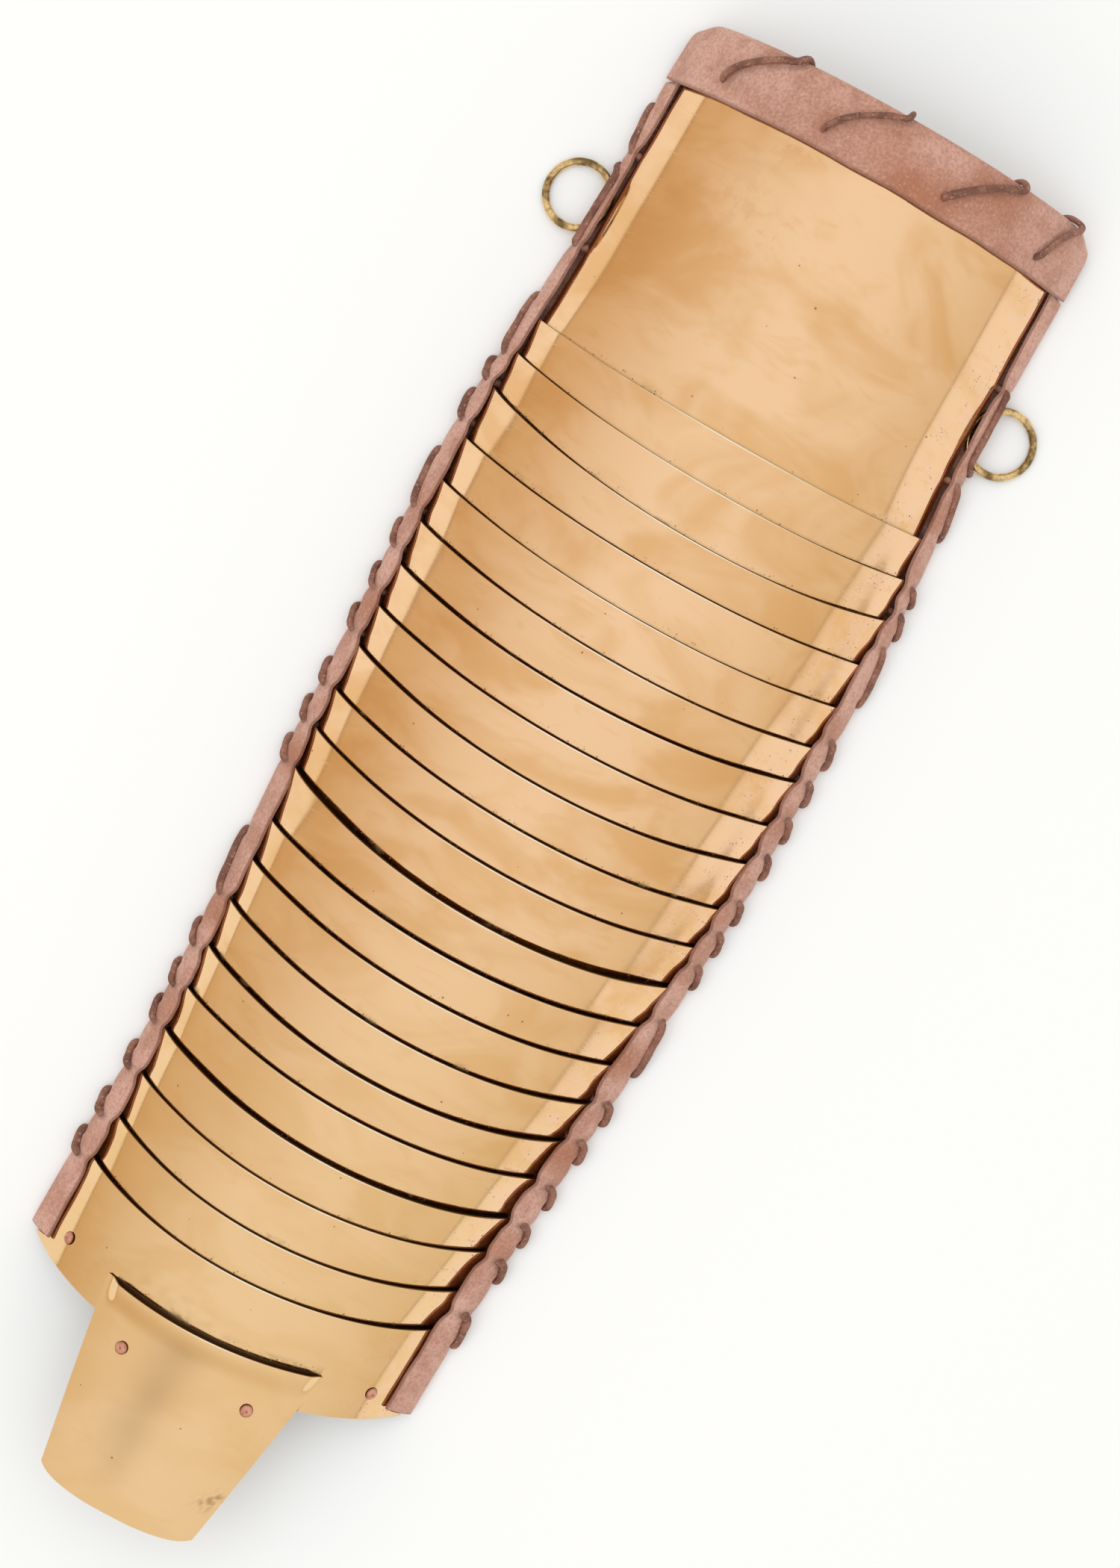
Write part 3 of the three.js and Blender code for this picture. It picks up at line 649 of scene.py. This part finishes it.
def smudges(u, v):
    """Brown smudges and soot just above the hand guard."""
    broken = noise.noise(Vector((u * 40, v * 16, 8)))
    return max(0.0, 0.6 * broken + 0.12) * near(u, 0.40, 0.16) * near(v, 0.30, 0.25)


marks = sheet_marks(8.0, from_guard, lambda u, v: (1 - v) * WRIST_HEIGHT, stain=smudges)
wrist = new_piece("wrist_plate_sheet", grid(150, 48, wrist_point, marks), brass, underside)
give_thickness(wrist, SHEET, 1, 0.25)
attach(wrist, "root")
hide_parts("wrist_plate")

# Hand guard
# A trapezoid of sheet that covers the back of the hand. It lies on the wrist plate under two rivets,
# its upper edge stands off between the corners, and a soft smoky valley runs down its middle.

# The guard's height in metres, along which the painted glint on its upper edge fades
GUARD_HEIGHT = 0.089

# The gap that is left between pieces that lie on one another
CLEAR = 0.35


def guard_point(u, v):
    across_share = 2 * u - 1
    down = 1 - v
    across = across_share * mix(GUARD.top_half, GUARD.end_half, down**1.05)
    top = GUARD.top + GUARD.slant * across + GUARD.top_bow * across_share**2
    end = GUARD.end + GUARD.bow * across_share**2 + GUARD.corner * across_share**8 + 0.03 * across
    y = mix(top, end, down)
    s = s_at(y, section(y).centre + across)
    free = smooth(-WRIST_END.top + 3, -WRIST_END.top + 25, -y)
    base = on_arch(y, s, CLEAR + SHEET)
    base.z -= GUARD.valley * free * near(across, 0, GUARD.valley_reach)
    sprung = (1 - smooth(0.0, 0.15, down)) * (1 - smooth(0.88, 0.97, abs(across_share - GAP_MIDDLE)))
    base.z += GUARD.lift * (1 - 0.2 * across_share) * sprung
    return base + waver(base, 55, BELLY, 40) * free * Vector((0, 0, 1))


def smoke(u, v):
    """The brown bloom down the valley, and a stain near the right of the free end."""
    across = (2 * u - 1) * GUARD.top_half
    down = 1 - v
    bloom = 0.42 * near(across, -7 - 8 * down, 12) * (1 - smooth(0.55, 1.0, down)) * smooth(0, 0.15, down)
    broken = noise.noise(Vector((u * 6, v * 5, 6)))
    spotted = max(0.0, 0.35 + 2.6 * noise.noise(Vector((u * 34, v * 36, 2))))
    stain = spotted * near(u, 0.94, 0.055) * near(v, 0.235, 0.045)
    return min(bloom * (1 + 0.5 * broken) + stain, 0.9)


marks = sheet_marks(
    9.0, lambda u, v: FAR, lambda u, v: (1 - v) * GUARD_HEIGHT, lambda u, v: u - 0.5, stain=smoke)
guard = new_piece("hand_guard_sheet", grid(110, 84, guard_point, marks), brass, underside)
give_thickness(guard, SHEET, 1, 0.28)
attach(guard, "root")
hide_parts("hand_guard")

# Leather edgings
# A strip of thick pinkish-brown suede down each side, folded over the lames' ends with the fold on the
# table. The outer flange stands a little off the brass, and the whipped thong pinches it into waves.
LEATHER = 2.2
Edging = namedtuple("Edging", "top tuck fold standoff inside lift")
EDGING = Edging(314.0, 18.0, 9.5, 1.5, 6.2, 3.3)
SIDES = {"left": -1, "right": 1}
EDGING_END = {"left": -254.5, "right": -247.0}

# From here on the edging draws in by this much to go under the shoulder binding
BINDING_FROM = 307.4
BINDING_ROOM = 2.8

# The taller inner end that the wrist plate's rivets hold
TAB = {"height": 27.5, "length": 17.0, "inside": 2.9}

# Where along the arm each stitch passes under the fold, and where it goes in through its hole
Stitch = namedtuple("Stitch", "under hole")
STITCHES = {
    "left": tuple(Stitch(*row) for row in (
        (294, 273), (266, 228), (201, 174), (169, 161), (153, 141), (124, 99), (90, 80), (69, 60),
        (49, 40), (23, 14), (5, -4), (-14, -23), (-59, -87), (-103, -112), (-123, -132), (-141, -150),
        (-164, -173), (-188, -197), (-208, -217))),
    "right": tuple(Stitch(*row) for row in (
        (-211, -196), (-177, -168), (-158, -149), (-138, -129), (-114, -105), (-94, -85), (-68, -42),
        (-23, -14), (-6, 3), (10, 19), (33, 42), (51, 60), (69, 78), (87, 98), (118, 143), (150, 159),
        (165, 171), (196, 218), (226, 262))),
}


def reach_at(y, z, side):
    """The sideways reach of the lames at height z, and the sine of their slope there."""
    here = section(y)
    cos = min(max((z - here.crown + here.radius) / here.radius, -1), 1)
    sin = math.sqrt(1 - cos * cos)
    return (here.radius + fuller(y, side * math.acos(cos) / here.angle)) * sin, sin


def bent(points, t):
    """A point on the rounded line that follows a few corners, with t from 0 to 1."""
    spans = len(points) - 2
    i = min(int(t * spans), spans - 1)
    f = t * spans - i
    a, b, c = (Vector(p) for p in points[i:i + 3])
    start = a if i == 0 else (a + b) / 2
    end = c if i == spans - 1 else (b + c) / 2
    return start * (1 - f) ** 2 + b * (2 * f * (1 - f)) + end * f * f


def edging_point(name, u, v):
    side = SIDES[name]
    y = mix(EDGING.top, EDGING_END[name], v)
    here = section(y)
    lift = EDGING.lift * max(near(y, stitch.under, 3.3) for stitch in STITCHES[name])
    pinch = max(near(y, stitch.hole, 3.6) for stitch in STITCHES[name])
    tall = smooth(0, 5, EDGING_END[name] + TAB["length"] - y)
    flange = here.flange * (1 - 0.08 * pinch + 0.07 * noise.noise(Vector((y / 21, side * 7, 0))))
    off = EDGING.standoff + 0.5 * pinch + 0.5 * noise.noise(Vector((y / 15, side * 3, 4)))
    top_x, top_sin = reach_at(y, flange, side)
    tuck = mix(EDGING.tuck, TAB["height"], tall)
    in_x, in_sin = reach_at(y, tuck, side)
    low = LEATHER / 2 + lift
    inset = BINDING_ROOM * smooth(BINDING_FROM - 2.5, BINDING_FROM, y)
    outline = (
        (top_x + off / top_sin, flange),
        (mix(top_x, here.half, 0.62) + 1.5 - 0.5 * pinch - inset, mix(low, flange, 0.52)),
        (here.half + 0.8 - 0.5 * lift - 0.9 * pinch - inset, low),
        (here.half - EDGING.fold - 0.5 * lift, low),
        (in_x - mix(EDGING.inside, TAB["inside"], tall) / in_sin, tuck),
    )
    x, z = bent(outline, u)
    return here.centre + side * x, y, z


SUEDE_DEEP = (0.50, 0.255, 0.185, 1)
SUEDE_PALE = (0.655, 0.375, 0.30, 1)
SUEDE_RED = (0.42, 0.165, 0.09, 1)
NAP_DARK = (0.30, 0.13, 0.085, 1)
NAP_PALE = (0.74, 0.48, 0.39, 1)
HOLE_SHADE_DARK = (0.05, 0.02, 0.012, 1)
CUT_DARK = (0.17, 0.07, 0.045, 1)


def leather_material():
    """Suede: a soft nap with paler rubbed patches, and darker fibres on the cut edges."""
    material, tree, shader = new_material("suede_leather")
    place = own_place(tree)
    mottle = grain(tree, place, 55, 3, 0.62)
    nap = grain(tree, place, 760, 2, 0.6)
    hide = mix_colour(tree, ranged(tree, mottle, 0.36, 0.64), SUEDE_DEEP, SUEDE_PALE)
    hide = mix_colour(tree, maths(tree, "MULTIPLY", mark(tree, "flush"), 0.9), hide, SUEDE_RED)
    hide = mix_colour(tree, ranged(tree, nap, 0.34, 0.56, 0.38, 0), hide, NAP_DARK)
    hide = mix_colour(tree, ranged(tree, nap, 0.58, 0.72, 0, 0.35), hide, NAP_PALE)
    # Painted shade: near-black patches round each thong hole stand in for the hole's shadow.
    hide = mix_colour(tree, maths(tree, "MULTIPLY", mark(tree, "hole_shade"), 0.85), hide, HOLE_SHADE_DARK)
    cut = ranged(tree, mark(tree, "cut"), 0.3, 0.95)
    hide = mix_colour(tree, maths(tree, "MULTIPLY", cut, 0.55), hide, CUT_DARK)
    tree.links.new(hide, shader.inputs["Base Color"])
    shader.inputs["Roughness"].default_value = 0.86
    shader.inputs["Specular IOR Level"].default_value = 0.2
    shader.inputs["Sheen Weight"].default_value = 0.2
    shader.inputs["Sheen Roughness"].default_value = 0.5
    height = maths(tree, "ADD", nap, mottle)
    roughen(tree, shader, height, 0.7, 0.0006)
    return material


def cut_ends(u, v):
    return 1.0 if min(u, 1 - u) < 0.01 or min(v, 1 - v) < 0.001 else 0.0


def thinned(u, v):
    """The share of the leather's thickness: its outer edge is pared down."""
    return 0.55 + 0.45 * smooth(0, 0.14, u)


suede = leather_material()
for name in SIDES:
    def hole_shade(u, v, name=name):
        """The dark slit that the thong makes round each of its holes in the outer flange, painted as shade
        because no hole is cut in the mesh.
        """
        y = mix(EDGING.top, EDGING_END[name], v)
        return max(near(y, stitch.hole, 1.5) for stitch in STITCHES[name]) * near(u, 0.17, 0.075)

    def redder(u, v, name=name):
        """Redder patches here and there along the strip."""
        return max(0.0, 1.5 * noise.noise(Vector((v * 23, SIDES[name] * 5, 3))))

    marks = (("cut", cut_ends), ("flush", redder), ("hole_shade", hole_shade), ("thickness", thinned))
    bm = grid(30, 700, lambda u, v, name=name: edging_point(name, u, v), marks)
    bmesh.ops.recalc_face_normals(bm, faces=bm.faces)
    edging = new_piece(f"edging_{name}_leather", bm, suede)
    skived = edging.vertex_groups.new(name="thickness")
    for i, share in enumerate(edging.data.attributes["thickness"].data):
        skived.add((i,), share.value, "REPLACE")
    give_thickness(edging, LEATHER, 0, 0.4)
    edging.modifiers["wall"].vertex_group = skived.name
    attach(edging, "root")
    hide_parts(f"edging_{name}")

# Shoulder binding
# A wide band of the same suede folded over the shoulder plate's rim and down to the table at both
# sides. It is soft and a little padded, and the thong presses it in where it crosses.
Binding = namedtuple("Binding", "outer inner round lean splay foot")
BINDING = Binding(304.1, 307.5, 2.4, 0.056, 1.3, 8.8)
RIM_HOLE = 312.5

# Each stitch's sideways places at its hole and where it goes over the rim, and how much it bows on the way
RimStitch = namedtuple("RimStitch", "hole over bow")
RIM_STITCHES = tuple(RimStitch(*row) for row in (
    (-69.6, -43.5, 0.55), (-23.9, 3.7, 0.45), (30.2, 56.1, 0.1), (74.4, 83.3, 0.3)))


def binding_splay(s):
    """How far the band opens out towards its two ends."""
    return BINDING.splay * smooth(0.75, 1, abs(s))


def past_foot(s, out, y):
    """As on_arch, and straight on along the slope past the feet."""
    inside = min(max(s, -1), 1)
    point = on_arch(y, inside, out)
    beyond = (abs(s) - 1) * section(y).radius * section(y).angle
    if beyond > 0:
        t = section(y).angle
        point += Vector((math.copysign(beyond, s) * math.cos(t), 0, -beyond * math.sin(t)))
    return point


def dent(s, y):
    """How far the thong presses the leather in, at and along its stitches."""
    x = section(RIM).centre + section(RIM).radius * math.sin(min(max(s, -1), 1) * section(RIM).angle)
    deep = 0.0
    for stitch in RIM_STITCHES:
        share = min(max((y - RIM_HOLE) / (RIM - RIM_HOLE), 0), 1)
        across = mix(stitch.hole, stitch.over, mix(share, share**2.2, stitch.bow)) - x
        along = max(RIM_HOLE - y, 0)
        deep = max(deep, 0.7 * math.exp(-((across / 2.6) ** 2) - (along / 2.5) ** 2))
        deep = max(deep, 1.1 * math.exp(-(((stitch.hole - x) / 2.2) ** 2) - ((RIM_HOLE - y) / 2.2) ** 2))
    return deep


def binding_point(u, v):
    s = (2 * u - 1) * (1 + BINDING.foot / (section(RIM).radius * section(RIM).angle))
    splay = binding_splay(s)
    outer = CLEAR + LEATHER / 2 + splay
    inner = -SHEET - CLEAR - LEATHER / 2 - splay
    border = BINDING.outer + 0.5 * noise.noise(Vector((s * 4.5, 0.3, 0)))
    round_off = 4.5 * smooth(0.93, 1.1, abs(s)) ** 2
    rim = RIM + BINDING.round - LEATHER / 2 - round_off
    outline = ((border, outer - 0.1), (mix(border, rim, 0.5), outer + 0.9), (rim + 0.6, outer + 0.5),
               (rim + 0.6, inner - 0.5), (mix(BINDING.inner, rim, 0.5), inner - 0.6), (BINDING.inner, inner))
    y, out = bent(outline, v)
    out -= dent(s, y) * smooth(-0.5, 1.0, out)
    point = past_foot(s, out, y)
    point.y += BINDING.lean * (section(y).crown - point.z)
    return point + waver(point, 3, 0.35, 16) * outwards(s)


def flush(u, v):
    """The redder, damper-looking part of the hide in the middle of the band."""
    return near(u, 0.60, 0.22) * (0.6 + 0.8 * noise.noise(Vector((u * 6, v * 4, 2))))


marks = (("cut", lambda u, v: 1.0 if min(v, 1 - v) < 0.01 else 0.0), ("flush", flush))
bm = grid(300, 44, binding_point, marks)
bmesh.ops.recalc_face_normals(bm, faces=bm.faces)
binding = new_piece("shoulder_binding_leather", bm, suede)
give_thickness(binding, LEATHER, 0, 0.6, 3)
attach(binding, "root")
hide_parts("shoulder_binding")

# Lacings
# A leather thong a shade darker than the hide, whipped down each edging through holes above the fold,
# and over the shoulder rim in four slanting stitches. It is a little flattened and twisted.
THONG = 1.4
SIDE_THONG = 1.75


def through(points, steps):
    """A smooth line through the given points."""
    line = []
    for i in range(len(points) - 1):
        a, b, c, d = (points[min(max(k, 0), len(points) - 1)] for k in (i - 1, i, i + 1, i + 2))
        for step in range(steps):
            t = step / steps
            line.append(0.5 * (2 * b + (c - a) * t + (2 * a - 5 * b + 4 * c - d) * t * t
                               + (3 * b - a - 3 * c + d) * t**3))
    return line + [points[-1]]


def thong_mesh(points, thick, steps=7, sides=12):
    """A tube along the smooth line, closed at both ends. thick is its mean radius."""
    line = through(points, steps)
    normal = Vector((0, 0, 1))
    frames = []
    for i, point in enumerate(line):
        tangent = (line[min(i + 1, len(line) - 1)] - line[max(i - 1, 0)]).normalized()
        normal = (normal - normal.dot(tangent) * tangent).normalized()
        frames.append((point, normal, tangent.cross(normal)))

    def at(u, v):
        point, up, across = frames[round(v * (len(line) - 1))]
        turn = 2 * math.pi * u
        girth = thick * (1 + 0.10 * math.cos(2 * turn + 0.8) + 0.12 * noise.noise(point / 5))
        return point + girth * (math.cos(turn) * up + math.sin(turn) * across)

    bm = grid(sides, len(line) - 1, at)
    bmesh.ops.remove_doubles(bm, verts=bm.verts, dist=1e-6)
    bmesh.ops.holes_fill(bm, edges=[edge for edge in bm.edges if edge.is_boundary])
    bmesh.ops.recalc_face_normals(bm, faces=bm.faces)
    return bm


THONG_DEEP = (0.165, 0.064, 0.040, 1)
THONG_RED = (0.31, 0.135, 0.09, 1)
FIBRE_DARK = (0.11, 0.04, 0.025, 1)
FIBRE_PALE = (0.60, 0.36, 0.27, 1)


def thong_material():
    material, tree, shader = new_material("dark_thong")
    place = own_place(tree)
    fine = grain(tree, place, 800, 2, 0.65)
    broad = grain(tree, place, 130, 2)
    hide = mix_colour(tree, ranged(tree, broad, 0.34, 0.66), THONG_DEEP, THONG_RED)
    hide = mix_colour(tree, ranged(tree, fine, 0.30, 0.44, 0.6, 0), hide, FIBRE_DARK)
    hide = mix_colour(tree, ranged(tree, fine, 0.58, 0.70, 0, 0.6), hide, FIBRE_PALE)
    tree.links.new(hide, shader.inputs["Base Color"])
    tree.links.new(ranged(tree, fine, 0.3, 0.7, 0.5, 0.75), shader.inputs["Roughness"])
    height = maths(tree, "ADD", fine, broad)
    roughen(tree, shader, height, 0.8, 0.0005)
    return material


RING_RADIUS = 14.05
RING_Y = {"left": 247.0, "right": 243.0}


def side_route(name):
    """The thong under the fold, up round it, in through its hole and back along the inside."""
    points = []
    low = SIDE_THONG + 0.1
    for stitch in STITCHES[name]:
        middle = (stitch.under + stitch.hole) / 2
        ahead = math.copysign(1, stitch.hole - stitch.under)
        route = [(stitch.under, 15.6, 4.4), (stitch.under, 12.0, low), (stitch.under, 3.0, low),
                 (stitch.under, -1.0, 3.3)]
        if abs(middle - RING_Y[name]) < RING_RADIUS:
            for way in (-1, 0, 1):
                route.append((RING_Y[name] + way * ahead * (RING_RADIUS + 0.2), 0.5 - 0.3 * (way == 0), 8.7))
        else:
            route.append((middle, -0.75, 5.9))
        route += [(stitch.hole, 2.2, 8.6), (stitch.hole, 17.4, 7.4)]
        for y, inset, z in route:
            here = section(y)
            points.append(Vector((here.centre + SIDES[name] * (here.half - inset), y, z)))
    return points


def rim_route():
    """The thong up through the hole, slanting over the rim, and back under to the next hole."""
    outside = CLEAR + LEATHER + CLEAR + THONG
    inside = -SHEET - CLEAR - LEATHER - CLEAR - THONG

    def place(x, y, out):
        s = s_at(y, x)
        point = on_arch(y, s, out + math.copysign(binding_splay(s), out))
        return Vector((point.x, y + BINDING.lean * (section(y).crown - on_arch(y, s).z), point.z))

    points = []
    rim = RIM + BINDING.round + 2 * CLEAR + THONG
    for hole, over, bow in RIM_STITCHES:
        points += [place(hole, RIM_HOLE, inside), place(hole, RIM_HOLE, outside - 0.9)]
        for straight, along in ((0.24, 0.32), (0.52, 0.64), (0.80, 0.92)):
            across = mix(hole, over, mix(straight, straight**2.2, bow))
            points.append(place(across, mix(RIM_HOLE, RIM, along), outside + 0.7))
        points.append(place(mix(hole, over, mix(1, 0.86, bow)), RIM + 0.8, outside + 0.6))
        points.append(place(over, rim - 1.3, outside - 0.4))
        points.append(place(over, rim, -SHEET / 2))
        points.append(place(over, rim - 1.6, inside + 0.4))
        points.append(place(over, RIM + 0.3, inside - 0.5))
    return points


thong = thong_material()
for name in SIDES:
    lacing = new_piece(f"lacing_{name}_thong", thong_mesh(side_route(name), SIDE_THONG), thong)
    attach(lacing, "root")
    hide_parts(f"lacing_{name}")
lacing = new_piece("shoulder_lacing_thong", thong_mesh(rim_route(), THONG), thong)
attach(lacing, "root")
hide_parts("shoulder_lacing")

# Tie rings
# Closed rings of antiqued brass wire, one on each side near the shoulder. Each goes through the fold
# of the edging under a long stitch, and its outer side lies on the table.
Ring = namedtuple("Ring", "radius wire high low")
RING = Ring(RING_RADIUS, 1.65, 5.0, 1.75)
WIRE_BROWN = (0.22, 0.14, 0.055, 1)
WIRE_BRIGHT = (0.86, 0.62, 0.30, 1)
WIRE_DARK = (0.06, 0.04, 0.02, 1)


def ring_material():
    material, tree, shader = new_material("antique_wire")
    place = own_place(tree)
    worn = grain(tree, place, 140, 3, 0.6)
    fine = grain(tree, place, 800, 2, 0.6)
    metal = mix_colour(tree, ranged(tree, worn, 0.35, 0.62), WIRE_BROWN, WIRE_BRIGHT)
    metal = mix_colour(tree, ranged(tree, fine, 0.55, 0.75, 0, 0.6), metal, WIRE_DARK)
    tree.links.new(metal, shader.inputs["Base Color"])
    shader.inputs["Metallic"].default_value = 1.0
    tree.links.new(ranged(tree, worn, 0.3, 0.7, 0.34, 0.16), shader.inputs["Roughness"])
    roughen(tree, shader, fine, 0.4, 0.0002)
    return material


antique = ring_material()
for name in SIDES:
    low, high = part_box(f"ring_{name}")
    tilt = math.asin((RING.high - RING.low) / (2 * RING.radius))
    bm = bmesh.new()
    wire = bmesh.ops.create_circle(bm, segments=20, radius=RING.wire * MM)["verts"]
    stood = Matrix.Translation((RING.radius * MM, 0, 0)) @ Matrix.Rotation(math.radians(90), 4, "X")
    bmesh.ops.transform(bm, matrix=stood, verts=wire)
    bmesh.ops.spin(bm, geom=bm.verts[:] + bm.edges[:], axis=(0, 0, 1), cent=(0, 0, 0), angle=2 * math.pi,
                   steps=96, use_merge=True)
    seat = Matrix.Translation((low + high) / 2) @ Matrix.Rotation(SIDES[name] * tilt, 4, "Y")
    bmesh.ops.transform(bm, matrix=seat, verts=bm.verts)
    bmesh.ops.recalc_face_normals(bm, faces=bm.faces)
    ring = new_piece(f"ring_{name}_wire", bm, antique)
    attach(ring, "root")
    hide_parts(f"ring_{name}")

# Rivets
# Four copper rivets with small domed heads, hammered tails inside, and a dimple in the head. Dirt has
# settled round the rim of each head.
Rivet = namedtuple("Rivet", "head rise shank tail tail_rise")
RIVET = Rivet(2.9, 1.5, 1.3, 2.3, 0.9)
TAB_INSIDE = 6.8
COPPER_DEEP = (0.62, 0.28, 0.19, 1)
COPPER_PALE = (0.80, 0.42, 0.31, 1)
GRIME = (0.10, 0.04, 0.025, 1)

# Each rivet's sideways place, its place along the arm, and how far above and below the arch it clamps
RIVETS = {
    "wrist_rivet_left": (-74.4, -247.8, CLEAR, TAB_INSIDE),
    "wrist_rivet_right": (70.9, -241.8, CLEAR, TAB_INSIDE),
    "guard_rivet_left": (-30.8, -269.9, SHEET + 2 * CLEAR, SHEET + CLEAR),
    "guard_rivet_right": (27.3, -267.0, SHEET + 2 * CLEAR, SHEET + CLEAR),
}


def copper_material():
    material, tree, shader = new_material("rivet_copper")
    place = own_place(tree)
    patch = grain(tree, place, 500, 2, 0.6)
    metal = mix_colour(tree, ranged(tree, patch, 0.3, 0.7), COPPER_DEEP, COPPER_PALE)
    metal = mix_colour(tree, mark(tree, "grime"), metal, GRIME)
    tree.links.new(metal, shader.inputs["Base Color"])
    shader.inputs["Metallic"].default_value = 1.0
    shader.inputs["Roughness"].default_value = 0.42
    roughen(tree, shader, patch, 0.4, 0.0002)
    return material


def rivet_mesh(above, below):
    """The rivet's outline turned about its own axis. Each row is a radius, a height and the grime there."""
    head, rise = RIVET.head, RIVET.rise
    outline = (
        (0.0, above + rise * 0.80, 0.8), (0.35, above + rise * 0.84, 0.5), (0.6, above + rise * 0.98, 0.0),
        (head * 0.45, above + rise * 0.93, 0.0), (head * 0.72, above + rise * 0.72, 0.0),
        (head * 0.93, above + rise * 0.34, 0.35), (head, above + rise * 0.10, 0.9), (head * 0.97, above, 1.0),
        (RIVET.shank, above, 1.0), (RIVET.shank, -below, 1.0), (RIVET.tail, -below, 0.6),
        (RIVET.tail * 0.9, -below - RIVET.tail_rise * 0.6, 0.2), (0.0, -below - RIVET.tail_rise, 0.0),
    )
    bm = bmesh.new()
    grime = bm.verts.layers.float.new("grime")
    corners = []
    for radius, height, dirt in outline:
        corner = bm.verts.new((radius * MM, 0, height * MM))
        corner[grime] = dirt
        corners.append(corner)
    for a, b in zip(corners, corners[1:]):
        bm.edges.new((a, b))
    bmesh.ops.spin(bm, geom=bm.verts[:] + bm.edges[:], axis=(0, 0, 1), cent=(0, 0, 0), angle=2 * math.pi,
                   steps=32, use_merge=True)
    bmesh.ops.remove_doubles(bm, verts=bm.verts, dist=1e-7)
    bmesh.ops.recalc_face_normals(bm, faces=bm.faces)
    return bm


copper = copper_material()
for name, (x, y, above, below) in RIVETS.items():
    s = s_at(y, x)
    t = s * section(y).angle
    outward = Vector((math.sin(t), 0, math.cos(t)))
    bm = rivet_mesh(above, below)
    seat = Matrix.Translation(placed(*on_arch(y, s))) @ outward.to_track_quat("Z", "Y").to_matrix().to_4x4()
    bmesh.ops.transform(bm, matrix=seat, verts=bm.verts)
    rivet = new_piece(f"{name}_copper", bm, copper)
    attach(rivet, "root")
    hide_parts(name)
